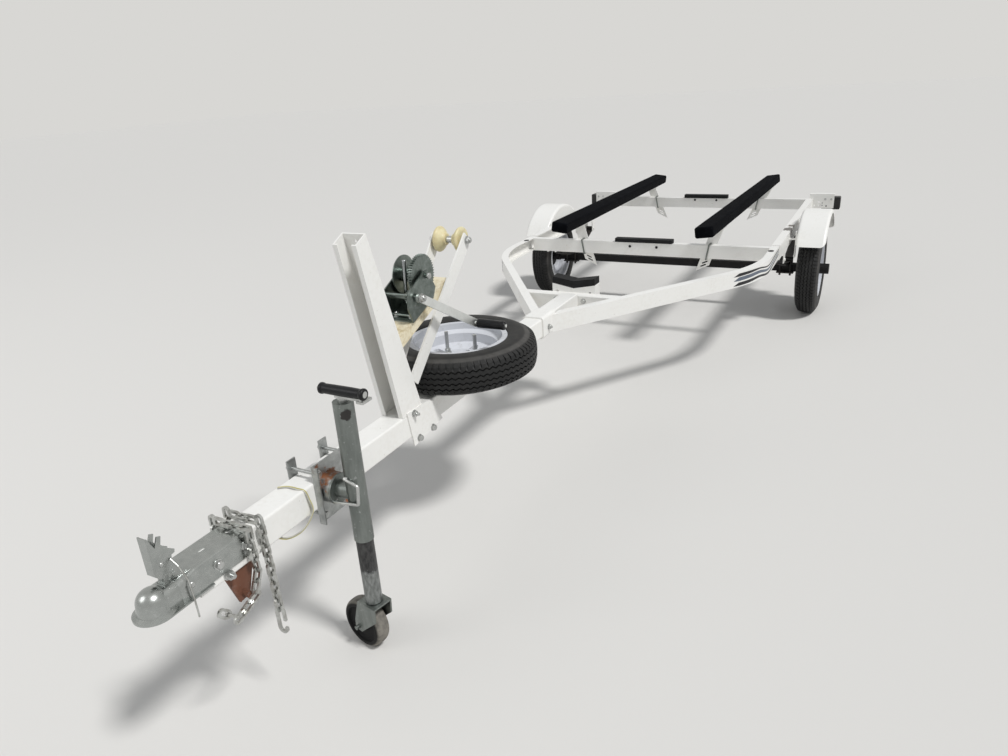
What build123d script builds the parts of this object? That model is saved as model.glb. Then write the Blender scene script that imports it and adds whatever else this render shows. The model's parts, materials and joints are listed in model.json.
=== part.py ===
from build123d import *
from math import cos, degrees, hypot, radians, sin, sqrt, tan
import os

os.makedirs("parts", exist_ok=True)

# A single-axle boat trailer, parked on its tongue jack, with a keel pad, two carpeted
# bunks, a winch post and a spare wheel laid flat on the tongue.
# Millimetres: +X to port, +Y to the rear, +Z up, ground at Z 0.
# Lengths along the trailer are stations, counted rearward from the coupler's nose.
overall_length = 5100.0


def at(station):
    # row Y of a station
    return station - overall_length / 2


# Tongue, a square tube on the centre line
tongue_size = 76.2
tongue_wall = 3.2
tongue_top = 521.5
tongue_front = 128.0
tongue_rear = 2237.0
tongue_corner = 6.0
tongue_half = tongue_size / 2
tongue_mid_z = tongue_top - tongue_half
tongue_bottom = tongue_top - tongue_size
sleeve_front = 1858.0
sleeve_length = 120.0
sleeve_wall = 7.0
sleeve_half = tongue_half + sleeve_wall

# Side rails, C-channels with the open side inward
rail_top = 514.0
rail_height = 72.0
rail_flange = 38.0
rail_wall = 3.0
rail_outer_x = 717.7
rail_slope = 34.4
rail_bend_radius = 673.0
rail_bend_end = 3136.0
rail_front_tail = 3500.0
rear_rail_front = 3370.0
rail_bottom = rail_top - rail_height
rear_rail_rear = 4852.5

# Crossmembers
cross_depth = 38.0
rear_cross_height = 68.0
cross_wall = 3.0
front_cross_station = 3313.0
angle_leg = 64.0
angle_flange = 50.0
angle_wall = 4.0
edge_gap = 0.3

# Keel pad
keel_half_width = 102.0
keel_plate = 4.0
keel_depth = 60.0
keel_edge_z = 545.0
keel_valley_z = 526.0
keel_hole_x = 78.0
keel_hole_z = 514.0
keel_hole_radius = 5.5
pad_edge_z = 579.0
pad_valley_z = 563.0
pad_half_width = 100.0

# Bunks
bunk_width = 95.0
bunk_depth = 57.0
bunk_front = 3050.0
bunk_front_x = 394.0
bunk_rear_x = 418.0
bunk_front_z = 637.0
bunk_rear_z = 617.0
bunk_tilt = 7.0
bunk_corner = 6.0

# Coupler
ball_radius = 25.4
socket_clearance = 0.5
nose_radius = 45.0
coupler_wall = 3.2
shoulder_front = 88.0
shoulder_rear = 125.0
coupler_rear = 277.0
coupler_skirt_z = 466.0
coupler_corner = 7.5
nose_top = 519.0
nose_bottom = 460.0
neck_half = 33.0
neck_top = 511.0
neck_corner = 23.0
lip_rear = 160.0
lip_thickness = 3.5
coupler_slot_length = 18.0
coupler_slot_width = 8.0
latch_half = 12.0
latch_sheet = 2.5

# Tongue jack on the port side
jack_x = 132.0
jack_station = 543.0
jack_outer_radius = 25.4
jack_cap = 8.0
jack_inner_radius = 22.75
jack_outer_top = 740.0
jack_outer_bottom = 357.0
jack_inner_top = 545.0
fork_top = 160.0
fork_plate = 5.0
caster_radius = 71.5
caster_width = 46.0
caster_trail = 45.0
caster_yaw = -12.0
caster_axle_radius = 6.0
pivot_z = 491.0
pivot_radius = 40.0
bracket_front = 495.0
bracket_rear = 645.0
bracket_top = 567.0
bracket_bottom = 405.0
bracket_plate = 4.0
bracket_flange = 20.0
clamp_bolt_radius = 4.8
bail_station = 514.0
bail_radius = 2.5

# Winch post, a tapered lipped channel, open to the front
post_half = 38.1
post_front_foot = 887.7
post_rear_foot = 988.5
post_front_top = 783.3
post_front_top_z = 1052.2
post_rear_top = 828.8
post_rear_top_z = 1074.5
post_wall = 4.0
post_lip = 15.0
foot_plate = 4.0
post_hole_z = 1053.0

# Roller arms and bow roller
arm_width = 45.5
arm_thickness = 6.0
arm_angle = 47.0
roller_station = 1293.8
roller_z = 959.8
arm_low_x = 34.0
arm_top_x = 56.0
roller_half = 50.0
roller_radius = 41.5
roller_neck_radius = 22.0
roller_bolt_radius = 6.35

# Winch
gear_module = 2.5
ring_teeth = 48
pinion_teeth = 15
drum_station = 1072.0
drum_z = 902.0
pinion_bearing = 218.86
gear_width = 12.0
gear_x = 27.0
gear_backlash = 0.35
drum_flange_radius = 57.0
drum_barrel_radius = 22.0
drum_flange_x = -35.0
drum_shaft_radius = 7.0
pinion_shaft_radius = 8.0
winch_half = 45.0
winch_plate = 4.0
winch_slope = 20.6
shelf_station = 915.0
shelf_foot_z = 758.0
shelf_length = 300.0
shelf_half = 37.0
crank_radius = 230.0
crank_rest = -34.0
crank_bar = 6.0
crank_width = 25.4
grip_length = 95.0
grip_radius = 15.0

# Wheels
tyre_radius = 262.0
tyre_half_width = 62.0
tread_half_width = 43.0
tyre_wall = 9.0
rim_radius = 152.4
rim_half_width = 50.0
rim_flange_radius = 166.0
rim_wall = 3.6
disc_offset = 15.0
disc_thickness = 7.0
stud_circle = 57.15
stud_radius = 6.35
nut_radius = 11.0
wheel_x = 831.0
axle_station = 3945.0
axle_size = 44.5
spindle_radius = 15.0
running_clearance = 0.05
hub_cap_x = 929.0
hub_cap_radius = 30.0

# Spare wheel
spare_station = 1283.0
spare_z = 584.0
spare_stud_top = 645.0

# Suspension
spring_x = 690.0
spring_width = 44.5
spring_leaf = 7.0
spring_half_span = 330.0
spring_eye_z = 385.0

# Fenders
fender_station = 3970.0
fender_radius = 340.0
fender_inner_x = 758.0
fender_outer_x = 916.0
fender_wall = 2.0
fender_end_angle = 32.0
fender_lip = 24.0
fender_bend = 16.0
fender_corner = 30.0
fender_side_low = 480.0

# Rear lamp brackets and lamps
lamp_bracket_z = 455.0
lamp_bracket_top = 550.0
lamp_bracket_x = 856.0
lamp_width = 115.0
lamp_height = 82.0
lamp_depth = 58.0
lamp_outer_x = 895.0
lamp_hole_radius = 5.0
lamp_holes = ((735.0, 471.0), (760.0, 472.0), (761.0, 496.0), (780.0, 489.0), (781.0, 472.0), (809.0, 469.0))


def block(x0, x1, y0, y1, z0, z1, mode=Mode.ADD):
    # a rectangular block between three pairs of limits
    with Locations(((x0 + x1) / 2, (y0 + y1) / 2, (z0 + z1) / 2)):
        Box(x1 - x0, y1 - y0, z1 - z0, mode=mode)


def rod(start, end, radius, mode=Mode.ADD):
    # a round bar from one point to another
    run = Vector(*end) - Vector(*start)
    with Locations(Plane(origin=start, z_dir=run.normalized())):
        Cylinder(radius, run.length, align=(Align.CENTER, Align.CENTER, Align.MIN), mode=mode)


def across(station):
    # a plane across the trailer, with local x to port and local y up; its normal points forward
    return Plane.XZ.offset(-at(station))


def along(x):
    # a plane along the trailer, with local x to the rear and local y up; its normal points to port
    return Plane.YZ.offset(x)


def outline(points):
    # (station, height) pairs as points of a plane along the trailer
    return [(at(station), height) for station, height in points]


# Tongue tube
with BuildPart() as tongue_tube:
    with BuildSketch(across(tongue_rear)):
        with Locations((0, tongue_mid_z)):
            RectangleRounded(tongue_size, tongue_size, tongue_corner)
            RectangleRounded(
                tongue_size - 2 * tongue_wall,
                tongue_size - 2 * tongue_wall,
                tongue_corner - tongue_wall,
                mode=Mode.SUBTRACT,
            )
    extrude(amount=tongue_rear - tongue_front)
tongue_tube.part.label = "tongue_tube"
export_step(tongue_tube.part, "parts/tongue_tube.step")

# Sleeve that joins the tongue to the rails' front ends
with BuildPart() as tongue_sleeve:
    with BuildSketch(across(sleeve_front + sleeve_length)):
        with Locations((0, tongue_mid_z)):
            RectangleRounded(2 * sleeve_half, 2 * sleeve_half, tongue_corner + sleeve_wall)
            RectangleRounded(tongue_size, tongue_size, tongue_corner, mode=Mode.SUBTRACT)
    extrude(amount=sleeve_length)
tongue_sleeve.part.label = "tongue_sleeve"
export_step(tongue_sleeve.part, "parts/tongue_sleeve.step")

# Front side rails: straight out from the sleeve, round one bend, then straight to the rear
bend_start_x = rail_outer_x - rail_bend_radius * (1 - cos(radians(rail_slope)))
bend_start = rail_bend_end - rail_bend_radius * sin(radians(rail_slope))
bend_middle = rail_slope / 2
bend_mid_x = rail_outer_x - rail_bend_radius * (1 - cos(radians(bend_middle)))
bend_mid = rail_bend_end - rail_bend_radius * sin(radians(bend_middle))
rail_nose_x = sleeve_half
rail_nose = bend_start - (bend_start_x - rail_nose_x) / tan(radians(rail_slope))


def rail_web_x(station, depth=0.0):
    # X of the port rail's outer face on its front straight, or of a face that lies depth inside
    return bend_start_x - (bend_start - station) * tan(radians(rail_slope)) - depth / cos(radians(rail_slope))


def rail_strip(width):
    # plan of a strip along the port rail, measured inward from its outer face
    run_on = 60.0
    lead = rail_nose - run_on
    slope_cos = cos(radians(rail_slope))
    slope_sin = sin(radians(rail_slope))
    middle_cos = cos(radians(bend_middle))
    middle_sin = sin(radians(bend_middle))
    with BuildLine() as line:
        outer_line = Line((rail_web_x(lead), at(lead)), (bend_start_x, at(bend_start)))
        outer_bend = ThreePointArc(outer_line @ 1, (bend_mid_x, at(bend_mid)), (rail_outer_x, at(rail_bend_end)))
        tail = Polyline(
            outer_bend @ 1,
            (rail_outer_x, at(rail_front_tail)),
            (rail_outer_x - width, at(rail_front_tail)),
            (rail_outer_x - width, at(rail_bend_end)),
        )
        inner_bend = ThreePointArc(
            tail @ 1,
            (bend_mid_x - width * middle_cos, at(bend_mid + width * middle_sin)),
            (bend_start_x - width * slope_cos, at(bend_start + width * slope_sin)),
        )
        Polyline(inner_bend @ 1, (rail_web_x(lead, width), at(lead)), outer_line @ 0)
    return line


with BuildPart() as rails_front:
    for width, low, high in (
        (rail_wall, rail_bottom, rail_top),
        (rail_flange, rail_bottom, rail_bottom + rail_wall),
        (rail_flange, rail_top - rail_wall, rail_top),
    ):
        strip = rail_strip(width)
        with BuildSketch(Plane.XY.offset(low)):
            add(strip.line)
            make_face()
        extrude(amount=high - low)
    block(-3 * rail_flange, rail_nose_x, at(rail_nose - 100), at(rail_nose + 100), rail_bottom, rail_top, Mode.SUBTRACT)
    mirror(about=Plane.YZ)
rails_front.part.label = "rails_front"
export_step(rails_front.part, "parts/rails_front.step")

# Rear side rails, a size larger, take the front rails' tails inside them
rear_top = rail_top + rail_wall + edge_gap
rear_bottom = rail_bottom - rail_wall - edge_gap
rear_outer_x = rail_outer_x + rail_wall + edge_gap
rail_inner_x = rail_outer_x - rail_flange
with BuildPart() as rails_rear:
    with BuildSketch(across(rear_rail_rear)):
        with BuildLine():
            Polyline(
                (rail_inner_x, rear_top),
                (rear_outer_x, rear_top),
                (rear_outer_x, rear_bottom),
                (rail_inner_x, rear_bottom),
                (rail_inner_x, rear_bottom + rail_wall),
                (rear_outer_x - rail_wall, rear_bottom + rail_wall),
                (rear_outer_x - rail_wall, rear_top - rail_wall),
                (rail_inner_x, rear_top - rail_wall),
                close=True,
            )
        make_face()
    extrude(amount=rear_rail_rear - rear_rail_front)
    mirror(about=Plane.YZ)
rails_rear.part.label = "rails_rear"
export_step(rails_rear.part, "parts/rails_rear.step")

# Crossmembers: rectangular tubes between the rails' flanges
rear_cross_station = rear_rail_rear - cross_depth
for name, station, top, low in (
    ("crossmember_front", front_cross_station, rail_top, rail_bottom),
    ("crossmember_rear", rear_cross_station, rear_top, rear_top - rear_cross_height),
):
    with BuildPart() as crossmember:
        block(-rail_inner_x, rail_inner_x, at(station), at(station + cross_depth), low, top)
        block(
            -rail_inner_x,
            rail_inner_x,
            at(station) + cross_wall,
            at(station + cross_depth) - cross_wall,
            low + cross_wall,
            top - cross_wall,
            Mode.SUBTRACT,
        )
    crossmember.part.label = name
    export_step(crossmember.part, f"parts/{name}.step")

# Angle crossmember behind the tongue's end, its ends inside the front rails
angle_top = rail_top - rail_wall
with BuildPart() as crossmember_angle:
    for depth, low in ((angle_wall, angle_top - angle_leg), (angle_flange, angle_top - angle_wall)):
        front_half = rail_web_x(tongue_rear, rail_wall) - edge_gap
        rear_half = rail_web_x(tongue_rear + depth, rail_wall) - edge_gap
        with BuildSketch(Plane.XY.offset(low)):
            with BuildLine():
                Polyline(
                    (-front_half, at(tongue_rear)),
                    (front_half, at(tongue_rear)),
                    (rear_half, at(tongue_rear + depth)),
                    (-rear_half, at(tongue_rear + depth)),
                    close=True,
                )
            make_face()
        extrude(amount=angle_top - low)
crossmember_angle.part.label = "crossmember_angle"
export_step(crossmember_angle.part, "parts/crossmember_angle.step")

# Keel bracket: a folded plate with a shallow V in its top edge, bolted behind the angle
keel_front = tongue_rear + angle_flange
with BuildPart() as keel_bracket:
    with BuildSketch(across(keel_front + keel_plate)):
        with BuildLine():
            Polyline(
                (-keel_half_width, angle_top - angle_leg),
                (keel_half_width, angle_top - angle_leg),
                (keel_half_width, keel_edge_z),
                (0, keel_valley_z),
                (-keel_half_width, keel_edge_z),
                close=True,
            )
        make_face()
        with Locations((-keel_hole_x, keel_hole_z), (keel_hole_x, keel_hole_z)):
            Circle(keel_hole_radius, mode=Mode.SUBTRACT)
    extrude(amount=keel_plate)
    for side in (-1, 1):
        edge_x = side * keel_half_width
        block(
            min(edge_x, edge_x - side * keel_plate),
            max(edge_x, edge_x - side * keel_plate),
            at(keel_front),
            at(keel_front + keel_depth),
            angle_top - angle_leg,
            keel_edge_z,
        )
        run = Plane(
            origin=(0, at(keel_front), keel_valley_z),
            x_dir=(side * keel_half_width, 0, keel_edge_z - keel_valley_z),
            z_dir=(0, -1, 0),
        )
        with BuildSketch(run):
            with Locations((hypot(keel_half_width, keel_edge_z - keel_valley_z) / 2, side * keel_plate / 2)):
                Rectangle(hypot(keel_half_width, keel_edge_z - keel_valley_z), keel_plate)
        extrude(amount=-keel_depth)
keel_bracket.part.label = "keel_bracket"
export_step(keel_bracket.part, "parts/keel_bracket.step")

# Keel pad: a thick V of dark rubber on the bracket
with BuildPart() as keel_pad:
    with BuildSketch(across(keel_front + keel_depth)):
        with BuildLine():
            slope = (keel_edge_z - keel_valley_z) / keel_half_width
            lift = edge_gap + keel_plate * sqrt(1 + slope * slope)
            Polyline(
                (0, keel_valley_z + lift),
                (pad_half_width, keel_valley_z + lift + slope * pad_half_width),
                (pad_half_width, pad_edge_z),
                (0, pad_valley_z),
                (-pad_half_width, pad_edge_z),
                (-pad_half_width, keel_valley_z + lift + slope * pad_half_width),
                close=True,
            )
        make_face()
    extrude(amount=keel_depth)
keel_pad.part.label = "keel_pad"
export_step(keel_pad.part, "parts/keel_pad.step")

# Flat pads on the middle of the two crossmembers
pad_overhang = 4.0
with BuildPart() as centre_pads:
    for station, top, half_length, thickness in (
        (front_cross_station, rail_top, 165.0, 20.0),
        (rear_cross_station, rear_top, 155.0, 23.0),
    ):
        with BuildSketch(Plane.XY.offset(top)):
            with Locations((0, at(station + cross_depth / 2))):
                RectangleRounded(2 * half_length, cross_depth + 2 * pad_overhang, bunk_corner)
        extrude(amount=thickness)
centre_pads.part.label = "centre_pads"
export_step(centre_pads.part, "parts/centre_pads.step")

# Bunks: planks in carpet, leaning in towards the hull and running a little apart to the rear
bunk_run = Vector(bunk_rear_x - bunk_front_x, overall_length - bunk_front, bunk_rear_z - bunk_front_z)


def bunk_frame(side):
    # the plane across a bunk's front end: local x outward along its width, local y up out of its top
    run = Vector(side * bunk_run.X, bunk_run.Y, bunk_run.Z).normalized()
    lean = Vector(side * cos(radians(bunk_tilt)), 0, sin(radians(bunk_tilt)))
    width_dir = (lean - run * lean.dot(run)).normalized()
    return Plane(
        origin=(side * bunk_front_x, at(bunk_front), bunk_front_z), x_dir=width_dir, z_dir=run
    )


for name, side in (("bunk_port", 1), ("bunk_starboard", -1)):
    with BuildPart() as bunk:
        with BuildSketch(bunk_frame(side)):
            RectangleRounded(bunk_width, bunk_depth, bunk_corner)
        extrude(amount=bunk_run.length)
    bunk.part.label = name
    export_step(bunk.part, f"parts/{name}.step")

# Bunk brackets: a leaning plate behind each crossmember, with a foot under the bunk
bracket_sheet = 5.0
bracket_low_z = 362.0
bracket_low_x = 290.0
bracket_low_width = 72.0
bracket_low_rise = 34.0
bracket_high_width = 66.0
foot_length = 90.0
hook_radius = 4.0
hook_top_x = 367.0
hook_low_x = 352.0
hook_nut_radius = 7.0
hook_nut_height = 7.0
bunk_supports = [
    (side, station, top + hook_radius + edge_gap, low - hook_radius - edge_gap)
    for side in (1, -1)
    for station, top, low in (
        (front_cross_station, rail_top, rail_bottom),
        (rear_cross_station, rear_top, rear_top - rear_cross_height),
    )
]
with BuildPart() as bunk_brackets:
    for side, station, hook_top, hook_low in bunk_supports:
        frame = bunk_frame(side)
        face = station + cross_depth
        share = (face - bunk_front) / bunk_run.Y
        middle = frame.origin + Vector(side * bunk_run.X, bunk_run.Y, bunk_run.Z) * share
        up_dir = frame.y_dir if frame.y_dir.Z > 0 else -frame.y_dir
        under = middle - up_dir * (bunk_depth / 2 + edge_gap)
        half = bracket_high_width / 2
        lean_rise = half * tan(radians(bunk_tilt))
        with BuildSketch(across(face + bracket_sheet)):
            with BuildLine():
                Polyline(
                    (side * bracket_low_x, bracket_low_z),
                    (side * (bracket_low_x + bracket_low_width), bracket_low_z + bracket_low_rise),
                    (under.X + side * half, under.Z + lean_rise - 2),
                    (under.X - side * half, under.Z - lean_rise - 2),
                    close=True,
                )
            make_face()
            for slot_x, slot_z in ((330, 394), (338, 412)):
                with Locations((side * slot_x, slot_z)):
                    SlotOverall(34, 8, rotation=side * 25, mode=Mode.SUBTRACT)
            with Locations((side * hook_top_x, hook_top), (side * hook_low_x, hook_low)):
                Circle(hook_radius + edge_gap, mode=Mode.SUBTRACT)
        extrude(amount=bracket_sheet)
        with BuildSketch(Plane(origin=under, x_dir=frame.x_dir, z_dir=up_dir)):
            Rectangle(bunk_width - 20, foot_length)
        extrude(amount=-bracket_sheet)
bunk_brackets.part.label = "bunk_brackets"
export_step(bunk_brackets.part, "parts/bunk_brackets.step")

# Square hook bolts round each crossmember, with their nuts behind the brackets
with BuildPart() as bunk_bolts:
    for side, station, hook_top, hook_low in bunk_supports:
        front_y = at(station) - hook_radius - edge_gap
        rear_y = at(station + cross_depth) + bracket_sheet
        rod((side * hook_top_x, front_y, hook_top), (side * hook_low_x, front_y, hook_low), hook_radius)
        for hook_x, hook_z in ((hook_top_x, hook_top), (hook_low_x, hook_low)):
            with Locations((side * hook_x, front_y, hook_z)):
                Sphere(hook_radius)
            rod((side * hook_x, front_y, hook_z), (side * hook_x, rear_y + hook_nut_height + 4, hook_z), hook_radius)
            with BuildSketch(across(station + cross_depth + bracket_sheet + edge_gap)):
                with Locations((side * hook_x, hook_z)):
                    RegularPolygon(hook_nut_radius, 6)
            extrude(amount=-hook_nut_height)
bunk_bolts.part.label = "bunk_bolts"
export_step(bunk_bolts.part, "parts/bunk_bolts.step")

# Coupler: a channel over the tongue that narrows at a shoulder to the neck and the domed ball socket
socket_radius = ball_radius + socket_clearance
ball_z = nose_top - coupler_wall - socket_radius
channel_half = tongue_half + coupler_wall
channel_top = tongue_top + coupler_wall
nose_y = at(nose_radius)


def coupler_section(station, half, top, corner, low):
    # cross-section of the coupler's pressing, closed along its low edge
    with BuildSketch(across(station), mode=Mode.PRIVATE) as section:
        with BuildLine():
            shell = FilletPolyline((-half, low), (-half, top), (half, top), (half, low), radius=corner)
            Line(shell @ 1, shell @ 0)
        make_face()
    return section.sketch


with BuildPart() as coupler_body:
    with BuildSketch(Plane(origin=(0, nose_y, 0), x_dir=(1, 0, 0), z_dir=(0, -1, 0))):
        with BuildLine():
            dome = ThreePointArc(
                (0, nose_top),
                (neck_half * sin(radians(45)), ball_z + (nose_top - ball_z) * cos(radians(45))),
                (neck_half, ball_z),
            )
            Polyline(
                dome @ 1,
                (neck_half + 3, nose_bottom + 10),
                (nose_radius, nose_bottom + 6),
                (nose_radius, nose_bottom),
                (0, nose_bottom),
                dome @ 0,
            )
        make_face()
    revolve(axis=Axis((0, nose_y, 0), (0, 0, 1)))
    for cut, mode in ((0.0, Mode.ADD), (coupler_wall, Mode.SUBTRACT)):
        low = nose_bottom if cut == 0 else nose_bottom - 1
        skirt = coupler_skirt_z if cut == 0 else nose_bottom - 1
        rear = coupler_rear if cut == 0 else coupler_rear + 1
        neck = (neck_half - cut, neck_top - cut, neck_corner - cut, low)
        channel = (channel_half - cut, channel_top - cut, coupler_corner - cut)
        neck_end = coupler_section(shoulder_front, *neck)
        channel_end = coupler_section(shoulder_rear, *channel, low)
        extrude(neck_end, amount=shoulder_front - nose_radius, mode=mode)
        loft([neck_end.face(), channel_end.face()], mode=mode)
        extrude(coupler_section(lip_rear, *channel, low), amount=lip_rear - shoulder_rear, mode=mode)
        extrude(coupler_section(rear, *channel, skirt), amount=rear - shoulder_rear, mode=mode)
    for side in (-1, 1):
        for lip_front, lip_end, lip_inner in (
            (nose_radius, shoulder_rear, neck_half - coupler_wall),
            (shoulder_rear, lip_rear, tongue_half + edge_gap),
        ):
            block(
                min(side * lip_inner, side * nose_radius),
                max(side * lip_inner, side * nose_radius),
                at(lip_front),
                at(lip_end),
                nose_bottom,
                nose_bottom + lip_thickness,
            )
    with Locations((0, nose_y, ball_z)):
        Sphere(socket_radius, mode=Mode.SUBTRACT)
    rod((0, nose_y, nose_bottom - 1), (0, nose_y, ball_z), socket_radius, Mode.SUBTRACT)
    with BuildSketch(Plane.XY.offset(tongue_top)):
        for slot_station in (179.0, 255.0):
            with Locations((0, at(slot_station))):
                SlotOverall(coupler_slot_length, coupler_slot_width, rotation=90)
    extrude(amount=coupler_wall + 1, mode=Mode.SUBTRACT)
coupler_body.part.label = "coupler_body"
export_step(coupler_body.part, "parts/coupler_body.step")

# Coupler latch, folded from sheet: two cheeks, a web along their front and a foot on the neck
latch_front = 57.0
cheek_outline = (
    (latch_front, 630),
    (61, 629),
    (72, 600),
    (82, 622),
    (91, 618),
    (86, 601),
    (95, 588),
    (113, 574),
    (111, 567),
    (103, 566),
    (98, 536),
    (100, 527),
    (68, 529),
    (latch_front, 541),
)
latch_foot_z = neck_top + edge_gap
with BuildPart() as coupler_latch:
    for start_x in (-latch_half, latch_half - latch_sheet):
        with BuildSketch(along(start_x)):
            with BuildLine():
                Polyline(outline(cheek_outline), close=True)
            make_face()
        extrude(amount=latch_sheet)
    block(-latch_half, latch_half, at(latch_front), at(latch_front + latch_sheet), 541, 630)
    block(-latch_half, latch_half, at(71), at(shoulder_front - 1), latch_foot_z, latch_foot_z + latch_sheet)
    block(latch_sheet - latch_half, latch_half - latch_sheet, at(74), at(shoulder_front - 1), latch_foot_z, 545)
coupler_latch.part.label = "coupler_latch"
export_step(coupler_latch.part, "parts/coupler_latch.step")

# Chain bracket under the tongue
with BuildPart() as chain_bracket:
    with BuildSketch(along(24)):
        with BuildLine():
            Polyline(
                outline(
                    (
                        (196, tongue_bottom),
                        (280, tongue_bottom),
                        (252, 366),
                        (222, 362),
                    )
                ),
                close=True,
            )
        make_face()
    extrude(amount=6)
    rod((14, at(237), 378), (46, at(237), 378), 8)
chain_bracket.part.label = "chain_bracket"
export_step(chain_bracket.part, "parts/chain_bracket.step")

# Safety chains: both cross over the tongue, one hangs down with its hook and one loops back under
link_length = 38.0
link_width = 22.0
link_wire = 6.0
link_gap = 0.6
link_pitch = link_length - 2 * link_wire - link_gap
hook_length = 78.0
hook_width = 30.0
hook_wire = 8.0
tongue_side = tongue_half + link_width / 2 + edge_gap
tongue_over = tongue_top + link_width / 2 + edge_gap
channel_side = channel_half + link_width / 2 + edge_gap
channel_over = channel_top + link_width / 2 + edge_gap
chain_hang = (
    (-tongue_side, 300.0, 455.0),
    (-tongue_side, 300.0, tongue_over),
    (tongue_side, 303.0, tongue_over),
    (tongue_side + 3, 303.0, 440.0),
    (tongue_side + 5, 302.0, 300.0),
)
chain_return = (
    (-channel_side, 262.0, 455.0),
    (-channel_side, 262.0, channel_over),
    (channel_side, 264.0, channel_over),
    (channel_side + 3, 264.0, 425.0),
    (channel_side + 6, 238.0, 373.0),
    (channel_side + 6, 190.0, 355.0),
    (channel_side + 5, 150.0, 395.0),
)


def chain_links(route):
    # link centres and headings, one pitch apart along the straight runs between the route's points
    points = [Vector(x, at(station), z) for x, station, z in route]
    centres = []
    spare = 0.0
    for start, end in zip(points, points[1:]):
        run = end - start
        travel = spare
        while travel <= run.length:
            centres.append((start + run.normalized() * travel, run.normalized()))
            travel += link_pitch
        spare = travel - run.length
    return centres


def link_plane(number, centre, heading):
    # plane of a link, turned a quarter from one link to the next
    side_dir = heading.cross(Vector(0, 0, 1) if abs(heading.Z) < 0.7 else Vector(0, 1, 0)).normalized()
    face_dir = heading.cross(side_dir).normalized() if number % 2 else side_dir
    return Plane(origin=centre, x_dir=heading, z_dir=face_dir)


with BuildPart() as chain_port:
    for number, (centre, heading) in enumerate(chain_links(chain_hang)):
        with BuildSketch(link_plane(number, centre, heading)):
            SlotOverall(link_length, link_width)
            SlotOverall(link_length - 2 * link_wire, link_width - 2 * link_wire, mode=Mode.SUBTRACT)
        extrude(amount=link_wire / 2, both=True)
    last_centre, last_heading = chain_links(chain_hang)[-1]
    hook_centre = last_centre + last_heading * ((link_length + hook_length) / 2 - link_wire - hook_wire - link_gap)
    with BuildSketch(link_plane(number + 1, hook_centre, last_heading)):
        SlotOverall(hook_length, hook_width)
        SlotOverall(hook_length - 2 * hook_wire, hook_width - 2 * hook_wire, mode=Mode.SUBTRACT)
        with Locations((hook_length / 8, hook_width / 2)):
            Rectangle(hook_length / 4, hook_width, mode=Mode.SUBTRACT)
    extrude(amount=link_wire / 2, both=True)
chain_port.part.label = "chain_port"
export_step(chain_port.part, "parts/chain_port.step")

with BuildPart() as chain_low:
    for number, (centre, heading) in enumerate(chain_links(chain_return)):
        with BuildSketch(link_plane(number, centre, heading)):
            SlotOverall(link_length, link_width)
            SlotOverall(link_length - 2 * link_wire, link_width - 2 * link_wire, mode=Mode.SUBTRACT)
        extrude(amount=link_wire / 2, both=True)
chain_low.part.label = "chain_low"
export_step(chain_low.part, "parts/chain_low.step")

# Light chain of the coupler's locking pin, from the latch over the neck and down its port side
pin_chain_radius = 2.0
pin_chain = (
    (latch_half + 1.7, 97.0, 560.0),
    (30.0, 99.0, 545.0),
    (46.0, 101.0, 515.0),
    (nose_radius + 3.0, 103.0, 462.0),
    (nose_radius + 2.0, 104.0, 420.0),
)
with BuildPart() as latch_chain:
    points = [(x, at(station), z) for x, station, z in pin_chain]
    for start, end in zip(points, points[1:]):
        rod(start, end, pin_chain_radius)
        with Locations(end):
            Sphere(pin_chain_radius)
latch_chain.part.label = "latch_chain"
export_step(latch_chain.part, "parts/latch_chain.step")

# Lamp wires, out of the tongue's top, round its port side and back into its underside
wire_radius = 2.8
wire_top = tongue_top + wire_radius + edge_gap
with BuildPart() as wiring_loop:
    with BuildLine() as wire_line:
        FilletPolyline(
            (4, at(474), wire_top),
            (tongue_half + 16, at(463), wire_top),
            (tongue_half + 14, at(440), 452),
            (tongue_half + 6, at(404), 392),
            (tongue_half - 8, at(352), 424),
            (tongue_half - 14, at(348), tongue_bottom - 1.4),
            radius=15,
        )
    with BuildSketch(Plane(origin=wire_line.line @ 0, z_dir=wire_line.line % 0)):
        Circle(wire_radius)
    sweep()
wiring_loop.part.label = "wiring_loop"
export_step(wiring_loop.part, "parts/wiring_loop.step")

# Jack bracket: a folded plate on the tongue's port side with the pivot drum on it
bracket_x = tongue_half
with BuildPart() as jack_bracket:
    block(bracket_x, bracket_x + bracket_plate, at(bracket_front), at(bracket_rear), bracket_bottom, bracket_top)
    for edge in (bracket_front, bracket_rear - bracket_plate):
        block(
            bracket_x,
            bracket_x + bracket_flange,
            at(edge),
            at(edge + bracket_plate),
            bracket_bottom,
            bracket_top,
        )
    drum_end = 74.0
    rod((bracket_x + bracket_plate, at(jack_station), pivot_z), (drum_end, at(jack_station), pivot_z), pivot_radius)
    rod(
        (bracket_x + bracket_plate, at(jack_station), pivot_z),
        (drum_end, at(jack_station), pivot_z),
        pivot_radius - 4,
        Mode.SUBTRACT,
    )
    rod((bracket_x + bracket_plate, at(jack_station), pivot_z), (drum_end, at(jack_station), pivot_z), 14)
    for bolt_station in (bracket_front + 15, bracket_rear - 15):
        for bolt_z in (tongue_top + 20, tongue_bottom - 20):
            rod(
                (bracket_x - 1, at(bolt_station), bolt_z),
                (bracket_x + bracket_plate + 1, at(bolt_station), bolt_z),
                clamp_bolt_radius + edge_gap,
                Mode.SUBTRACT,
            )
jack_bracket.part.label = "jack_bracket"
export_step(jack_bracket.part, "parts/jack_bracket.step")

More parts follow.
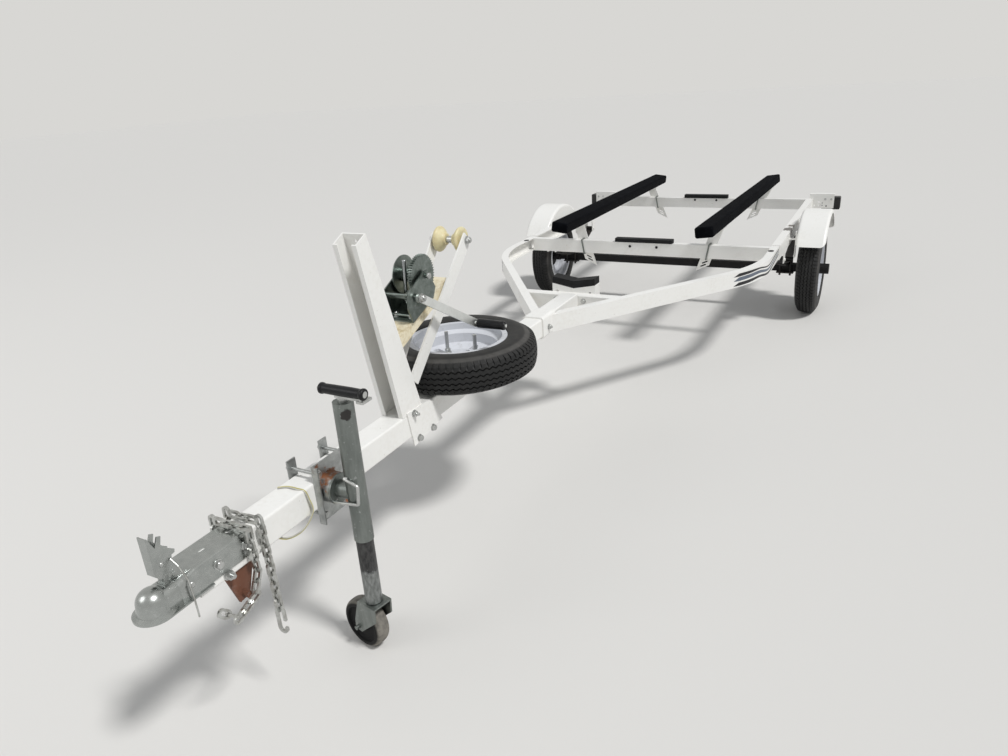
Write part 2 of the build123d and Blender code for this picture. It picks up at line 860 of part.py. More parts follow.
# Jack clamp: two straps on the starboard side and four bolts over and under the tongue
with BuildPart() as jack_clamp:
    for bolt_station in (bracket_front + 15, bracket_rear - 15):
        block(
            -bracket_x - bracket_plate,
            -bracket_x,
            at(bolt_station) - 15,
            at(bolt_station) + 15,
            bracket_bottom,
            bracket_top,
        )
        for bolt_z in (tongue_top + 20, tongue_bottom - 20):
            rod(
                (-bracket_x - 18, at(bolt_station), bolt_z),
                (bracket_x + bracket_plate + 8, at(bolt_station), bolt_z),
                clamp_bolt_radius,
            )
jack_clamp.part.label = "jack_clamp"
export_step(jack_clamp.part, "parts/jack_clamp.step")

# Jack leg: the outer tube with its half of the pivot
with BuildPart() as jack_leg:
    rod((jack_x, at(jack_station), jack_outer_bottom), (jack_x, at(jack_station), jack_outer_top), jack_outer_radius)
    rod((drum_end + edge_gap, at(jack_station), pivot_z), (drum_end + 6, at(jack_station), pivot_z), pivot_radius)
    rod((drum_end + 6, at(jack_station), pivot_z), (jack_x, at(jack_station), pivot_z), 22)
    rod(
        (jack_x, at(jack_station), jack_outer_bottom - 1),
        (jack_x, at(jack_station), jack_outer_top - jack_cap),
        jack_inner_radius + running_clearance,
        Mode.SUBTRACT,
    )
    bail = [(jack_x, at(bail_station) + 3.5, 543), (121, at(bail_station), 543), (162, at(bail_station), 529)]
    bail += [(156, at(bail_station), 476), (drum_end + 3, at(bail_station), 466), (drum_end + 3, at(bail_station) + 12, 470)]
    for start, end in zip(bail, bail[1:]):
        rod(start, end, bail_radius)
        with Locations(end):
            Sphere(bail_radius)
jack_leg.part.label = "jack_leg"
export_step(jack_leg.part, "parts/jack_leg.step")

# Jack crank: a cap on the leg, a flat arm and the grip folded back over it
arm_z = jack_outer_top + 14
with BuildPart() as jack_crank:
    rod((jack_x, at(jack_station), jack_outer_top), (jack_x, at(jack_station), arm_z + 5), 12)
    block(jack_x - 14, jack_x + 80, at(jack_station) - 11, at(jack_station) + 11, arm_z - 3, arm_z + 3)
    rod((jack_x + 70, at(jack_station) - 18, arm_z), (jack_x + 70, at(jack_station) - 18, arm_z + 22), 5)
    block(jack_x + 60, jack_x + 80, at(jack_station) - 24, at(jack_station) - 10, arm_z - 3, arm_z + 3)
jack_crank.part.label = "jack_crank"
export_step(jack_crank.part, "parts/jack_crank.step")

with BuildPart() as jack_grip:
    grip_z = arm_z + 22 + 14
    rod((jack_x - 45, at(jack_station) - 18, grip_z), (jack_x + 85, at(jack_station) - 18, grip_z), 14)
jack_grip.part.label = "jack_grip"
export_step(jack_grip.part, "parts/jack_grip.step")

# Jack's inner tube
with BuildPart() as jack_inner:
    rod((jack_x, at(jack_station), fork_top + 2), (jack_x, at(jack_station), jack_inner_top), jack_inner_radius)
    rod((jack_x, at(jack_station), fork_top + 1), (jack_x, at(jack_station), jack_inner_top + 1), 19, Mode.SUBTRACT)
    rod((jack_x, at(jack_station), fork_top + 2), (jack_x, at(jack_station), fork_top + 12), jack_inner_radius)
    rod((jack_x, at(jack_station), fork_top - fork_plate - 4), (jack_x, at(jack_station), fork_top + 4), 8)
jack_inner.part.label = "jack_inner"
export_step(jack_inner.part, "parts/jack_inner.step")

# Caster fork: a top plate and two leaning sides, turned a little off square as it was left
roll_dir = Vector(cos(radians(caster_yaw)), sin(radians(caster_yaw)), 0)
axle_dir = Vector(-sin(radians(caster_yaw)), cos(radians(caster_yaw)), 0)
leg_foot = Vector(jack_x, at(jack_station), 0)
caster_centre = leg_foot - roll_dir * caster_trail + Vector(0, 0, caster_radius)
fork_half = 33.0
fork_inside = caster_width / 2 + 3
with BuildPart() as jack_fork:
    top_plane = Plane(origin=leg_foot + Vector(0, 0, fork_top), x_dir=roll_dir, z_dir=(0, 0, 1))
    with BuildSketch(top_plane):
        Rectangle(2 * fork_half, 2 * (fork_inside + fork_plate))
        Circle(8 + running_clearance, mode=Mode.SUBTRACT)
    extrude(amount=-fork_plate)
    for side in (-1, 1):
        side_origin = leg_foot + axle_dir * side * (fork_inside + fork_plate / 2)
        side_plane = Plane(origin=side_origin, x_dir=roll_dir, z_dir=-axle_dir)
        with BuildSketch(side_plane):
            with BuildLine():
                Polyline(
                    (-fork_half, fork_top),
                    (fork_half, fork_top),
                    (fork_half - 4, fork_top - 45),
                    (-caster_trail + 12, caster_radius - 12),
                    (-caster_trail - 12, caster_radius - 8),
                    (-caster_trail - 10, caster_radius + 20),
                    close=True,
                )
            make_face()
        extrude(amount=fork_plate / 2, both=True)
    reach = fork_inside + fork_plate + 9
    rod(
        tuple(caster_centre - axle_dir * reach),
        tuple(caster_centre + axle_dir * reach),
        caster_axle_radius,
    )
jack_fork.part.label = "jack_fork"
export_step(jack_fork.part, "parts/jack_fork.step")

with BuildPart() as jack_wheel:
    rod(
        tuple(caster_centre - axle_dir * (caster_width / 2)),
        tuple(caster_centre + axle_dir * (caster_width / 2)),
        caster_radius,
    )
    rod(
        tuple(caster_centre - axle_dir * caster_width),
        tuple(caster_centre + axle_dir * caster_width),
        caster_axle_radius + running_clearance,
        Mode.SUBTRACT,
    )
jack_wheel.part.label = "jack_wheel"
export_step(jack_wheel.part, "parts/jack_wheel.step")

# Winch post: walls that taper in side view, a web along the rear edge and lips along the front
post_corners = (
    (post_front_foot, tongue_top),
    (post_rear_foot, tongue_top),
    (post_rear_top, post_rear_top_z),
    (post_front_top, post_front_top_z),
)
post_front_run = (post_front_top - post_front_foot) / (post_front_top_z - tongue_top)
post_rear_run = (post_rear_top - post_rear_foot) / (post_rear_top_z - tongue_top)


def post_front(z):
    # station of the post's front edge at a height
    return post_front_foot + (z - tongue_top) * post_front_run


def post_rear(z):
    # station of the post's rear face at a height
    return post_rear_foot + (z - tongue_top) * post_rear_run


post_reach = 60.0
low_cut = tongue_top - post_reach
high_cut = post_rear_top_z + post_reach
with BuildPart() as winch_post:
    with BuildSketch(along(-post_half)):
        with BuildLine():
            Polyline(outline(post_corners), close=True)
        make_face()
    extrude(amount=2 * post_half)
    for half, front_shift in ((post_half - post_wall, post_wall), (post_half - post_lip, -post_reach)):
        with BuildSketch(along(-half)):
            with BuildLine():
                Polyline(
                    outline(
                        (
                            (post_front(low_cut) + front_shift, low_cut),
                            (post_rear(low_cut) - post_wall, low_cut),
                            (post_rear(high_cut) - post_wall, high_cut),
                            (post_front(high_cut) + front_shift, high_cut),
                        )
                    ),
                    close=True,
                )
            make_face()
        extrude(amount=2 * half, mode=Mode.SUBTRACT)
    rod((0, at(post_rear(post_hole_z)) - 20, post_hole_z), (0, at(post_rear(post_hole_z)) + 20, post_hole_z), 5, Mode.SUBTRACT)
winch_post.part.label = "winch_post"
export_step(winch_post.part, "parts/winch_post.step")

# Foot plates that clamp the post to the tongue, with two bolts passing under it
foot_outline = ((925, 415), (1085, 437), (1050, 513), (1008, 528), (905, 530))
with BuildPart() as post_feet:
    for side in (-1, 1):
        start_x = tongue_half if side > 0 else -tongue_half - foot_plate
        with BuildSketch(along(start_x)):
            with BuildLine():
                Polyline(outline(foot_outline), close=True)
            make_face()
        extrude(amount=foot_plate)
    for bolt_station in (952, 1027):
        rod(
            (-tongue_half - foot_plate - 8, at(bolt_station), tongue_bottom - 14),
            (tongue_half + foot_plate + 8, at(bolt_station), tongue_bottom - 14),
            clamp_bolt_radius,
        )
post_feet.part.label = "post_feet"
export_step(post_feet.part, "parts/post_feet.step")



def trim_to_post():
    # cuts off what reaches forward of the post's rear face
    with BuildSketch(along(-2 * post_half), mode=Mode.PRIVATE) as front_side:
        with BuildLine():
            Polyline(
                outline(
                    (
                        (post_rear(low_cut), low_cut),
                        (post_rear(high_cut), high_cut),
                        (post_front_top - post_reach, high_cut),
                        (post_front_top - post_reach, low_cut),
                    )
                ),
                close=True,
            )
        make_face()
    extrude(front_side.sketch, amount=4 * post_half, mode=Mode.SUBTRACT)


# Roller arms: flat bars from the post's web up to the bow roller, a little apart at the top
arm_run = Vector(0, cos(radians(arm_angle)), sin(radians(arm_angle)))
arm_reach = 480.0
arm_end = 12.0
roller_centre = Vector(0, at(roller_station), roller_z)
with BuildPart() as roller_arms:
    for side in (1, -1):
        top_point = roller_centre + Vector(side * arm_top_x, 0, 0)
        low_point = roller_centre + Vector(side * arm_low_x, 0, 0) - arm_run * arm_reach
        heading = (top_point - low_point).normalized()
        outward = Vector(side, 0, 0)
        flat_dir = (outward - heading * heading.dot(outward)).normalized()
        length = (top_point - low_point).length
        with BuildSketch(Plane(origin=low_point, x_dir=heading, z_dir=flat_dir)):
            with Locations(((length + arm_end) / 2, 0)):
                Rectangle(length + arm_end, arm_width)
            with Locations((length, 0)):
                Circle(roller_bolt_radius + edge_gap, mode=Mode.SUBTRACT)
        extrude(amount=arm_thickness / 2, both=True)
    trim_to_post()
roller_arms.part.label = "roller_arms"
export_step(roller_arms.part, "parts/roller_arms.step")

# Bow roller: two cones of soft plastic, running on a bolt through the arms
with BuildPart() as bow_roller:
    with BuildSketch(Plane(origin=(0, at(roller_station), roller_z), x_dir=(0, 0, 1), z_dir=(0, 1, 0))):
        with BuildLine():
            Polyline(
                (roller_bolt_radius + running_clearance, -roller_half),
                (roller_radius - 9, -roller_half),
                (roller_radius, -roller_half + 8),
                (roller_neck_radius, -8),
                (roller_neck_radius, 8),
                (roller_radius, roller_half - 8),
                (roller_radius - 9, roller_half),
                (roller_bolt_radius + running_clearance, roller_half),
                close=True,
            )
        make_face()
    revolve(axis=Axis((0, at(roller_station), roller_z), (1, 0, 0)))
bow_roller.part.label = "bow_roller"
export_step(bow_roller.part, "parts/bow_roller.step")

with BuildPart() as roller_bolt:
    rod((-74, at(roller_station), roller_z), (74, at(roller_station), roller_z), roller_bolt_radius)
roller_bolt.part.label = "roller_bolt"
export_step(roller_bolt.part, "parts/roller_bolt.step")

# Winch bracket: a channel from the post's web to the roller arms, its back upward
slope_dir = Vector(0, cos(radians(winch_slope)), sin(radians(winch_slope)))
shelf_foot = Vector(0, at(shelf_station), shelf_foot_z)
with BuildPart() as winch_bracket:
    with BuildSketch(Plane(origin=shelf_foot, x_dir=(1, 0, 0), z_dir=slope_dir)):
        for centre, size in (((0, 2.0), (2 * shelf_half, 4.0)), ((-shelf_half + 2, 17.0), (4.0, 34.0)), ((shelf_half - 2, 17.0), (4.0, 34.0))):
            with Locations(centre):
                Rectangle(*size)
    extrude(amount=shelf_length)
    trim_to_post()
winch_bracket.part.label = "winch_bracket"
export_step(winch_bracket.part, "parts/winch_bracket.step")

# Winch frame: a base and two side plates, with tie rods between them
pinion_reach = gear_module * (ring_teeth + pinion_teeth) / 2
pinion_station = drum_station + pinion_reach * cos(radians(pinion_bearing))
pinion_z = drum_z + pinion_reach * sin(radians(pinion_bearing))
shelf_slope = tan(radians(winch_slope))


def shelf_z(station):
    # height of the winch bracket's back at a station
    return shelf_foot_z + (station - shelf_station) * shelf_slope


side_outline = (
    (972, 874),
    (966, 830),
    (985, shelf_z(985)),
    (1100, shelf_z(1100)),
    (1115, 858),
    (1090, 902),
    (1079, 917),
    (1062, 917),
)
with BuildPart() as winch_frame:
    for start_x in (winch_half - winch_plate, -winch_half):
        with BuildSketch(along(start_x)):
            with BuildLine():
                Polyline(outline(side_outline), close=True)
            make_face()
            with Locations((at(drum_station), drum_z)):
                Circle(drum_shaft_radius + running_clearance, mode=Mode.SUBTRACT)
            with Locations((at(pinion_station), pinion_z)):
                Circle(pinion_shaft_radius + running_clearance, mode=Mode.SUBTRACT)
        extrude(amount=winch_plate)
    with BuildSketch(along(-winch_half)):
        with BuildLine():
            Polyline(
                outline(
                    (
                        (985, shelf_z(985)),
                        (1100, shelf_z(1100)),
                        (1100, shelf_z(1100) + winch_plate),
                        (985, shelf_z(985) + winch_plate),
                    )
                ),
                close=True,
            )
        make_face()
    extrude(amount=2 * winch_half)
    for tie_station, tie_z in ((982, 867), (1000, 800)):
        rod((-winch_half, at(tie_station), tie_z), (winch_half, at(tie_station), tie_z), 4)
winch_frame.part.label = "winch_frame"
export_step(winch_frame.part, "parts/winch_frame.step")


def gear_sketch(teeth, phase, bore):
    # spur gear outline with straight-flanked teeth; phase turns it so that the pair meshes at rest
    pitch = gear_module * teeth / 2
    tip = pitch + gear_module - 0.1
    root = pitch - 1.25 * gear_module
    quarter = 360 / teeth / 4
    slack = degrees(gear_backlash / 2 / pitch)
    points = []
    for tooth in range(teeth):
        middle = phase + tooth * 360 / teeth
        for radius, half_angle in (
            (root, quarter * 1.62 - slack),
            (pitch, quarter - slack),
            (tip, quarter * 0.42 - slack),
        ):
            points.append((radius, middle - half_angle))
        for radius, half_angle in (
            (tip, quarter * 0.42 - slack),
            (pitch, quarter - slack),
            (root, quarter * 1.62 - slack),
        ):
            points.append((radius, middle + half_angle))
    with BuildSketch(mode=Mode.PRIVATE) as gear:
        with BuildLine():
            Polyline([(r * cos(radians(a)), r * sin(radians(a))) for r, a in points], close=True)
        make_face()
        Circle(bore, mode=Mode.SUBTRACT)
    return gear.sketch


# Drum with its ring gear
with BuildPart() as winch_drum:
    rod((drum_flange_x, at(drum_station), drum_z), (drum_flange_x + 3, at(drum_station), drum_z), drum_flange_radius)
    rod((drum_flange_x, at(drum_station), drum_z), (gear_x, at(drum_station), drum_z), drum_barrel_radius)
    with BuildSketch(Plane(origin=(gear_x - gear_width / 2, at(drum_station), drum_z), x_dir=(0, 1, 0), z_dir=(1, 0, 0))):
        add(gear_sketch(ring_teeth, pinion_bearing, drum_shaft_radius))
    extrude(amount=gear_width)
    rod(
        (-winch_half - 6, at(drum_station), drum_z),
        (winch_half + 6, at(drum_station), drum_z),
        drum_shaft_radius,
    )
winch_drum.part.label = "winch_drum"
export_step(winch_drum.part, "parts/winch_drum.step")

# Pinion on its shaft
with BuildPart() as winch_pinion:
    pinion_phase = pinion_bearing + 180 + 180 / pinion_teeth
    with BuildSketch(
        Plane(origin=(gear_x - gear_width / 2 - 2, at(pinion_station), pinion_z), x_dir=(0, 1, 0), z_dir=(1, 0, 0))
    ):
        add(gear_sketch(pinion_teeth, pinion_phase, pinion_shaft_radius - 1))
    extrude(amount=gear_width + 4)
    rod(
        (-winch_half - 6, at(pinion_station), pinion_z),
        (winch_half + 22, at(pinion_station), pinion_z),
        pinion_shaft_radius,
    )
winch_pinion.part.label = "winch_pinion"
export_step(winch_pinion.part, "parts/winch_pinion.step")

# Crank: a flat bar on the pinion shaft, leaning outward, and its grip
crank_dir = Vector(0, cos(radians(crank_rest)), sin(radians(crank_rest)))
crank_foot = Vector(winch_half + 12 + crank_bar / 2, at(pinion_station), pinion_z)
crank_knee = crank_foot + crank_dir * crank_radius + Vector(62, 0, 0)
with BuildPart() as winch_crank:
    bar_dir = (crank_knee - crank_foot).normalized()
    bar_face = (Vector(1, 0, 0) - bar_dir * bar_dir.X).normalized()
    with BuildSketch(Plane(origin=crank_foot, x_dir=bar_dir, z_dir=bar_face)):
        with Locations(((crank_knee - crank_foot).length / 2, 0)):
            SlotOverall((crank_knee - crank_foot).length + crank_width, crank_width)
    extrude(amount=crank_bar / 2, both=True)
    rod(
        (winch_half + 6.3, at(pinion_station), pinion_z),
        (crank_foot.X, at(pinion_station), pinion_z),
        crank_width / 2,
    )
    rod(
        (winch_half, at(pinion_station), pinion_z),
        (winch_half + 30, at(pinion_station), pinion_z),
        pinion_shaft_radius + running_clearance,
        Mode.SUBTRACT,
    )
    rod(tuple(crank_knee), tuple(crank_knee + Vector(grip_length + 12, 0, 0)), 5)
winch_crank.part.label = "winch_crank"
export_step(winch_crank.part, "parts/winch_crank.step")

with BuildPart() as winch_grip:
    rod(
        tuple(crank_knee + Vector(8, 0, 0)),
        tuple(crank_knee + Vector(8 + grip_length, 0, 0)),
        grip_radius,
    )
    rod(tuple(crank_knee), tuple(crank_knee + Vector(grip_length + 20, 0, 0)), 5.3, Mode.SUBTRACT)
winch_grip.part.label = "winch_grip"
export_step(winch_grip.part, "parts/winch_grip.step")


def wheel_plane(centre, outward):
    # half-section plane of a wheel: local x is the radius, local y runs outward along the axle
    radial = Vector(0, 1, 0)
    return Plane(origin=centre, x_dir=radial, z_dir=radial.cross(Vector(*outward)))


def face_plane(centre, outward, offset):
    # plane across a wheel's axle, offset outward from its middle
    middle = Vector(*centre) + Vector(*outward) * offset
    return Plane(origin=middle, x_dir=(0, 1, 0), z_dir=outward)


def tyre_section():
    # half-section of a tyre: bead, rounded sidewalls and a crowned tread, hollow inside
    bead = rim_radius + edge_gap
    seat = rim_half_width - edge_gap
    foot_radius = rim_flange_radius + 2
    foot_x = rim_half_width + rim_wall + 2
    wide_radius = (foot_radius + tyre_radius) / 2 - 8
    with BuildSketch(mode=Mode.PRIVATE) as section:
        with BuildLine():
            foot = Polyline((bead, -seat), (bead, seat), (foot_radius, seat), (foot_radius, foot_x))
            bulge = ThreePointArc(foot @ 1, (wide_radius, tyre_half_width), (tyre_radius - 24, tyre_half_width - 9))
            shoulder = Line(bulge @ 1, (tyre_radius - 7, tread_half_width))
            crown = ThreePointArc(shoulder @ 1, (tyre_radius, 0), (tyre_radius - 7, -tread_half_width))
            other = Line(crown @ 1, (tyre_radius - 24, 9 - tyre_half_width))
            sidewall = ThreePointArc(other @ 1, (wide_radius, -tyre_half_width), (foot_radius, -foot_x))
            Polyline(sidewall @ 1, (foot_radius, -seat), foot @ 0)
        make_face()
        wall = tyre_half_width - tyre_wall
        crown_low = tyre_radius - 1.4 * tyre_wall
        with BuildLine():
            base = Polyline((foot_radius + 3, 10 - foot_x), (bead - 1, 20 - foot_x), (bead - 1, foot_x - 20), (foot_radius + 3, foot_x - 10))
            inside = ThreePointArc(base @ 1, (wide_radius, wall), (crown_low - 16, wall - 9))
            corner = Line(inside @ 1, (crown_low - 6, tread_half_width - 4))
            roof = ThreePointArc(corner @ 1, (crown_low, 0), (crown_low - 6, 4 - tread_half_width))
            other_corner = Line(roof @ 1, (crown_low - 16, 9 - wall))
            ThreePointArc(other_corner @ 1, (wide_radius, -wall), base @ 0)
        make_face(mode=Mode.SUBTRACT)
    return section.sketch


def rim_section():
    # half-section of the rim: flanges, bead seats and a drop centre, then the disc
    inside = rim_radius - rim_wall
    drop = rim_radius - 17.0
    face = disc_offset + disc_thickness
    with BuildSketch(mode=Mode.PRIVATE) as section:
        with BuildLine():
            Polyline(
                (rim_flange_radius, -rim_half_width),
                (rim_radius, -rim_half_width),
                (rim_radius, -30.0),
                (drop, -20.0),
                (drop, 6.0),
                (rim_radius, 20.0),
                (rim_radius, rim_half_width),
                (rim_flange_radius, rim_half_width),
                (rim_flange_radius, rim_half_width + rim_wall),
                (inside, rim_half_width + rim_wall),
                (inside, 24.0),
                (drop - rim_wall, 10.0),
                (drop - rim_wall, -22.0),
                (inside, -32.0),
                (inside, -rim_half_width - rim_wall),
                (rim_flange_radius, -rim_half_width - rim_wall),
                close=True,
            )
        make_face()
        with BuildLine():
            Polyline(
                (33.0, disc_offset),
                (74.0, disc_offset),
                (90.0, disc_offset + 9),
                (drop - rim_wall + 1, disc_offset - 6),
                (inside - 6.0, face - 4),
                (94.0, face + 9),
                (72.0, face),
                (33.0, face),
                close=True,
            )
        make_face()
    return section.sketch


# Wheels: two on the axle and the spare, which lies flat with its outer face down
wheel_rows = (
    ("port", (wheel_x, at(axle_station), tyre_radius), (1, 0, 0)),
    ("starboard", (-wheel_x, at(axle_station), tyre_radius), (-1, 0, 0)),
    ("spare", (0, at(spare_station), spare_z), (0, 0, -1)),
)
for name, centre, outward in wheel_rows:
    with BuildPart() as tyre:
        with BuildSketch(wheel_plane(centre, outward)):
            add(tyre_section())
        revolve(axis=Axis(centre, outward))
    tyre.part.label = f"tyre_{name}"
    export_step(tyre.part, f"parts/tyre_{name}.step")
    with BuildPart() as rim:
        with BuildSketch(wheel_plane(centre, outward)):
            add(rim_section())
        revolve(axis=Axis(centre, outward))
        with BuildSketch(face_plane(centre, outward, -10)):
            with PolarLocations(104, 5, start_angle=0):
                Trapezoid(34, 26, 70, rotation=-90)
            with PolarLocations(stud_circle, 5, start_angle=0):
                Circle(stud_radius + 0.8)
        extrude(amount=60, mode=Mode.SUBTRACT)
    rim.part.label = f"rim_{name}"
    export_step(rim.part, f"parts/rim_{name}.step")

# Spare carrier: a riser across the tongue and two long studs through the disc
disc_low = spare_z - disc_offset - disc_thickness
stud_x = stud_circle * sin(radians(72))
stud_station = spare_station + stud_circle * cos(radians(72))
with BuildPart() as spare_carrier:
    block(-tongue_half, tongue_half, at(stud_station) - 25, at(stud_station) + 25, tongue_top, disc_low - 5)
    block(-64, 64, at(stud_station) - 12, at(stud_station) + 12, disc_low - 5, disc_low)
    for side in (-1, 1):
        rod(
            (side * stud_x, at(stud_station), disc_low - 5),
            (side * stud_x, at(stud_station), spare_stud_top),
            stud_radius,
        )
spare_carrier.part.label = "spare_carrier"
export_step(spare_carrier.part, "parts/spare_carrier.step")

# Axle: a square beam with a round spindle at each end
beam_half = wheel_x - rim_half_width - 4
with BuildPart() as axle:
    block(
        -beam_half,
        beam_half,
        at(axle_station) - axle_size / 2,
        at(axle_station) + axle_size / 2,
        tyre_radius - axle_size / 2,
        tyre_radius + axle_size / 2,
    )
    for side in (-1, 1):
        rod(
            (side * beam_half, at(axle_station), tyre_radius),
            (side * (wheel_x + 46), at(axle_station), tyre_radius),
            spindle_radius,
        )
axle.part.label = "axle"
export_step(axle.part, "parts/axle.step")

# Hubs: flange, barrel, five studs with nuts and a bearing cap
for name, side in (("hub_port", 1), ("hub_starboard", -1)):
    centre = (side * wheel_x, at(axle_station), tyre_radius)
    outward = (side, 0, 0)
    axle_z = tyre_radius
    with BuildPart() as hub:
        for start, end, radius in (
            (-rim_half_width, 48.0, 32.0),
            (disc_offset - 9, disc_offset, 72.0),
            (48.0, hub_cap_x - wheel_x, hub_cap_radius),
        ):
            rod(
                (side * (wheel_x + start), at(axle_station), axle_z),
                (side * (wheel_x + end), at(axle_station), axle_z),
                radius,
            )
        rod(
            (side * (wheel_x - rim_half_width - 1), at(axle_station), axle_z),
            (side * (wheel_x + 50), at(axle_station), axle_z),
            spindle_radius + running_clearance,
            Mode.SUBTRACT,
        )
        with BuildSketch(face_plane(centre, outward, disc_offset)):
            with PolarLocations(stud_circle, 5, start_angle=0):
                Circle(stud_radius)
        extrude(amount=disc_thickness + 1)
        with BuildSketch(face_plane(centre, outward, disc_offset + disc_thickness + edge_gap)):
            with PolarLocations(stud_circle, 5, start_angle=0):
                RegularPolygon(nut_radius, 6)
        extrude(amount=15)
    hub.part.label = name
    export_step(hub.part, f"parts/{name}.step")

# Springs: three leaves with an eye at each end, over the axle
leaf_base = tyre_radius + axle_size / 2
with BuildPart() as springs:
    for side in (-1, 1):
        start_x = side * spring_x - spring_width / 2
        for number, half_span in enumerate((spring_half_span, 240.0, 150.0)):
            rise = (spring_eye_z - leaf_base - 3 * spring_leaf) * (half_span / spring_half_span) ** 2
            low = leaf_base + (2 - number) * spring_leaf
            with BuildSketch(along(start_x)):
                with BuildLine():
                    under = ThreePointArc(
                        (at(axle_station - half_span), low + rise),
                        (at(axle_station), low),
                        (at(axle_station + half_span), low + rise),
                    )
                    upper = ThreePointArc(
                        (at(axle_station + half_span), low + rise + spring_leaf),
                        (at(axle_station), low + spring_leaf),
                        (at(axle_station - half_span), low + rise + spring_leaf),
                    )
                    Line(under @ 1, upper @ 0)
                    Line(upper @ 1, under @ 0)
                make_face()
            extrude(amount=spring_width)
        for end in (-1, 1):
            eye_y = at(axle_station + end * spring_half_span)
            eye_z = spring_eye_z
            rod((start_x, eye_y, eye_z), (start_x + spring_width, eye_y, eye_z), 14)
            rod((start_x, eye_y, eye_z), (start_x + spring_width, eye_y, eye_z), 7, Mode.SUBTRACT)
springs.part.label = "springs"
export_step(springs.part, "parts/springs.step")

# Spring hangers under the rails, each two cheeks and a bolt through the eye
with BuildPart() as spring_hangers:
    for side in (-1, 1):
        for end in (-1, 1):
            eye_y = at(axle_station + end * spring_half_span)
            for cheek in (-1, 1):
                inner = side * spring_x + cheek * (spring_width / 2 + 1)
                outer = inner + cheek * 5
                block(
                    min(inner, outer),
                    max(inner, outer),
                    eye_y - 22,
                    eye_y + 22,
                    spring_eye_z - 18,
                    rear_bottom,
                )
            rod(
                (side * spring_x - spring_width / 2 - 12, eye_y, spring_eye_z),
                (side * spring_x + spring_width / 2 + 12, eye_y, spring_eye_z),
                6.7,
            )
spring_hangers.part.label = "spring_hangers"
export_step(spring_hangers.part, "parts/spring_hangers.step")

# Spring plates under the axle with two U-bolts each
plate_low = tyre_radius - axle_size / 2 - 8
pack_top = leaf_base + 3 * spring_leaf
with BuildPart() as spring_clamps:
    for side in (-1, 1):
        block(
            side * spring_x - 48,
            side * spring_x + 48,
            at(axle_station) - 45,
            at(axle_station) + 45,
            plate_low,
            plate_low + 8,
        )
        for end in (-1, 1):
            bolt_y = at(axle_station) + end * (axle_size / 2 + 7)
            for leg in (-1, 1):
                leg_x = side * spring_x + leg * (spring_width / 2 + 7)
                rod((leg_x, bolt_y, plate_low - 14), (leg_x, bolt_y, pack_top + 7), 6)
            rod(
                (side * spring_x - spring_width / 2 - 13, bolt_y, pack_top + 7),
                (side * spring_x + spring_width / 2 + 13, bolt_y, pack_top + 7),
                6,
            )
spring_clamps.part.label = "spring_clamps"
export_step(spring_clamps.part, "parts/spring_clamps.step")

# Fenders: a round-edged sheet over each wheel with a closed wall on its inner side
fender_y = at(fender_station)
fender_foot_z = tyre_radius + fender_radius * sin(radians(fender_end_angle))
fender_start = Vector(0, -cos(radians(fender_end_angle)), sin(radians(fender_end_angle)))
fender_centre = (0, fender_y, tyre_radius)
fender_half = (fender_outer_x - fender_inner_x) / 2
fender_middle_x = fender_inner_x + fender_half
with BuildPart() as fender_port:
    with BuildSketch(Plane(origin=fender_centre, x_dir=(1, 0, 0), z_dir=Vector(1, 0, 0).cross(fender_start))):
        with BuildLine():
            shell = FilletPolyline(
                (fender_inner_x, fender_radius - fender_lip),
                (fender_inner_x, fender_radius),
                (fender_outer_x, fender_radius),
                (fender_outer_x, fender_radius - fender_lip),
                radius=fender_bend,
            )
            lining = FilletPolyline(
                (fender_inner_x + fender_wall, fender_radius - fender_lip),
                (fender_inner_x + fender_wall, fender_radius - fender_wall),
                (fender_outer_x - fender_wall, fender_radius - fender_wall),
                (fender_outer_x - fender_wall, fender_radius - fender_lip),
                radius=fender_bend - fender_wall,
            )
            Line(shell @ 0, lining @ 0)
            Line(shell @ 1, lining @ 1)
        make_face()
    revolve(axis=Axis(fender_centre, (-1, 0, 0)), revolution_arc=180 - 2 * fender_end_angle)
    with BuildSketch(Plane.XZ.offset(-fender_y - fender_radius)):
        with Locations((fender_middle_x, fender_foot_z)):
            Rectangle(2 * fender_radius, fender_radius)
        with Locations((fender_middle_x, fender_foot_z + fender_radius)):
            RectangleRounded(2 * fender_half + 2, 2 * fender_radius, fender_corner, mode=Mode.SUBTRACT)
    extrude(amount=2 * fender_radius, mode=Mode.SUBTRACT)
    with BuildSketch(along(fender_inner_x)):
        with Locations((fender_y, tyre_radius)):
            Circle(fender_radius - fender_bend)
        with Locations((fender_y, fender_side_low - fender_radius)):
            Rectangle(2 * fender_radius, 2 * fender_radius, mode=Mode.SUBTRACT)
    extrude(amount=fender_wall)
fender_port.part.label = "fender_port"
export_step(fender_port.part, "parts/fender_port.step")

with BuildPart() as fender_starboard:
    mirror(fender_port.part, about=Plane.YZ)
fender_starboard.part.label = "fender_starboard"
export_step(fender_starboard.part, "parts/fender_starboard.step")

# Fender brackets: flat bars from the rail out to the fender's inner edge
with BuildPart() as fender_brackets:
    for side in (-1, 1):
        for end in (-1, 1):
            bar_y = fender_y + end * 220
            x_low = min(side * rear_outer_x, side * (fender_inner_x - edge_gap))
            x_high = max(side * rear_outer_x, side * (fender_inner_x - edge_gap))
            block(x_low, x_high, bar_y - 15, bar_y + 15, 470, 475)
            tip = side * (fender_inner_x - edge_gap)
            block(min(tip, tip - side * 5), max(tip, tip - side * 5), bar_y - 15, bar_y + 15, 370, 515)
fender_brackets.part.label = "fender_brackets"
export_step(fender_brackets.part, "parts/fender_brackets.step")

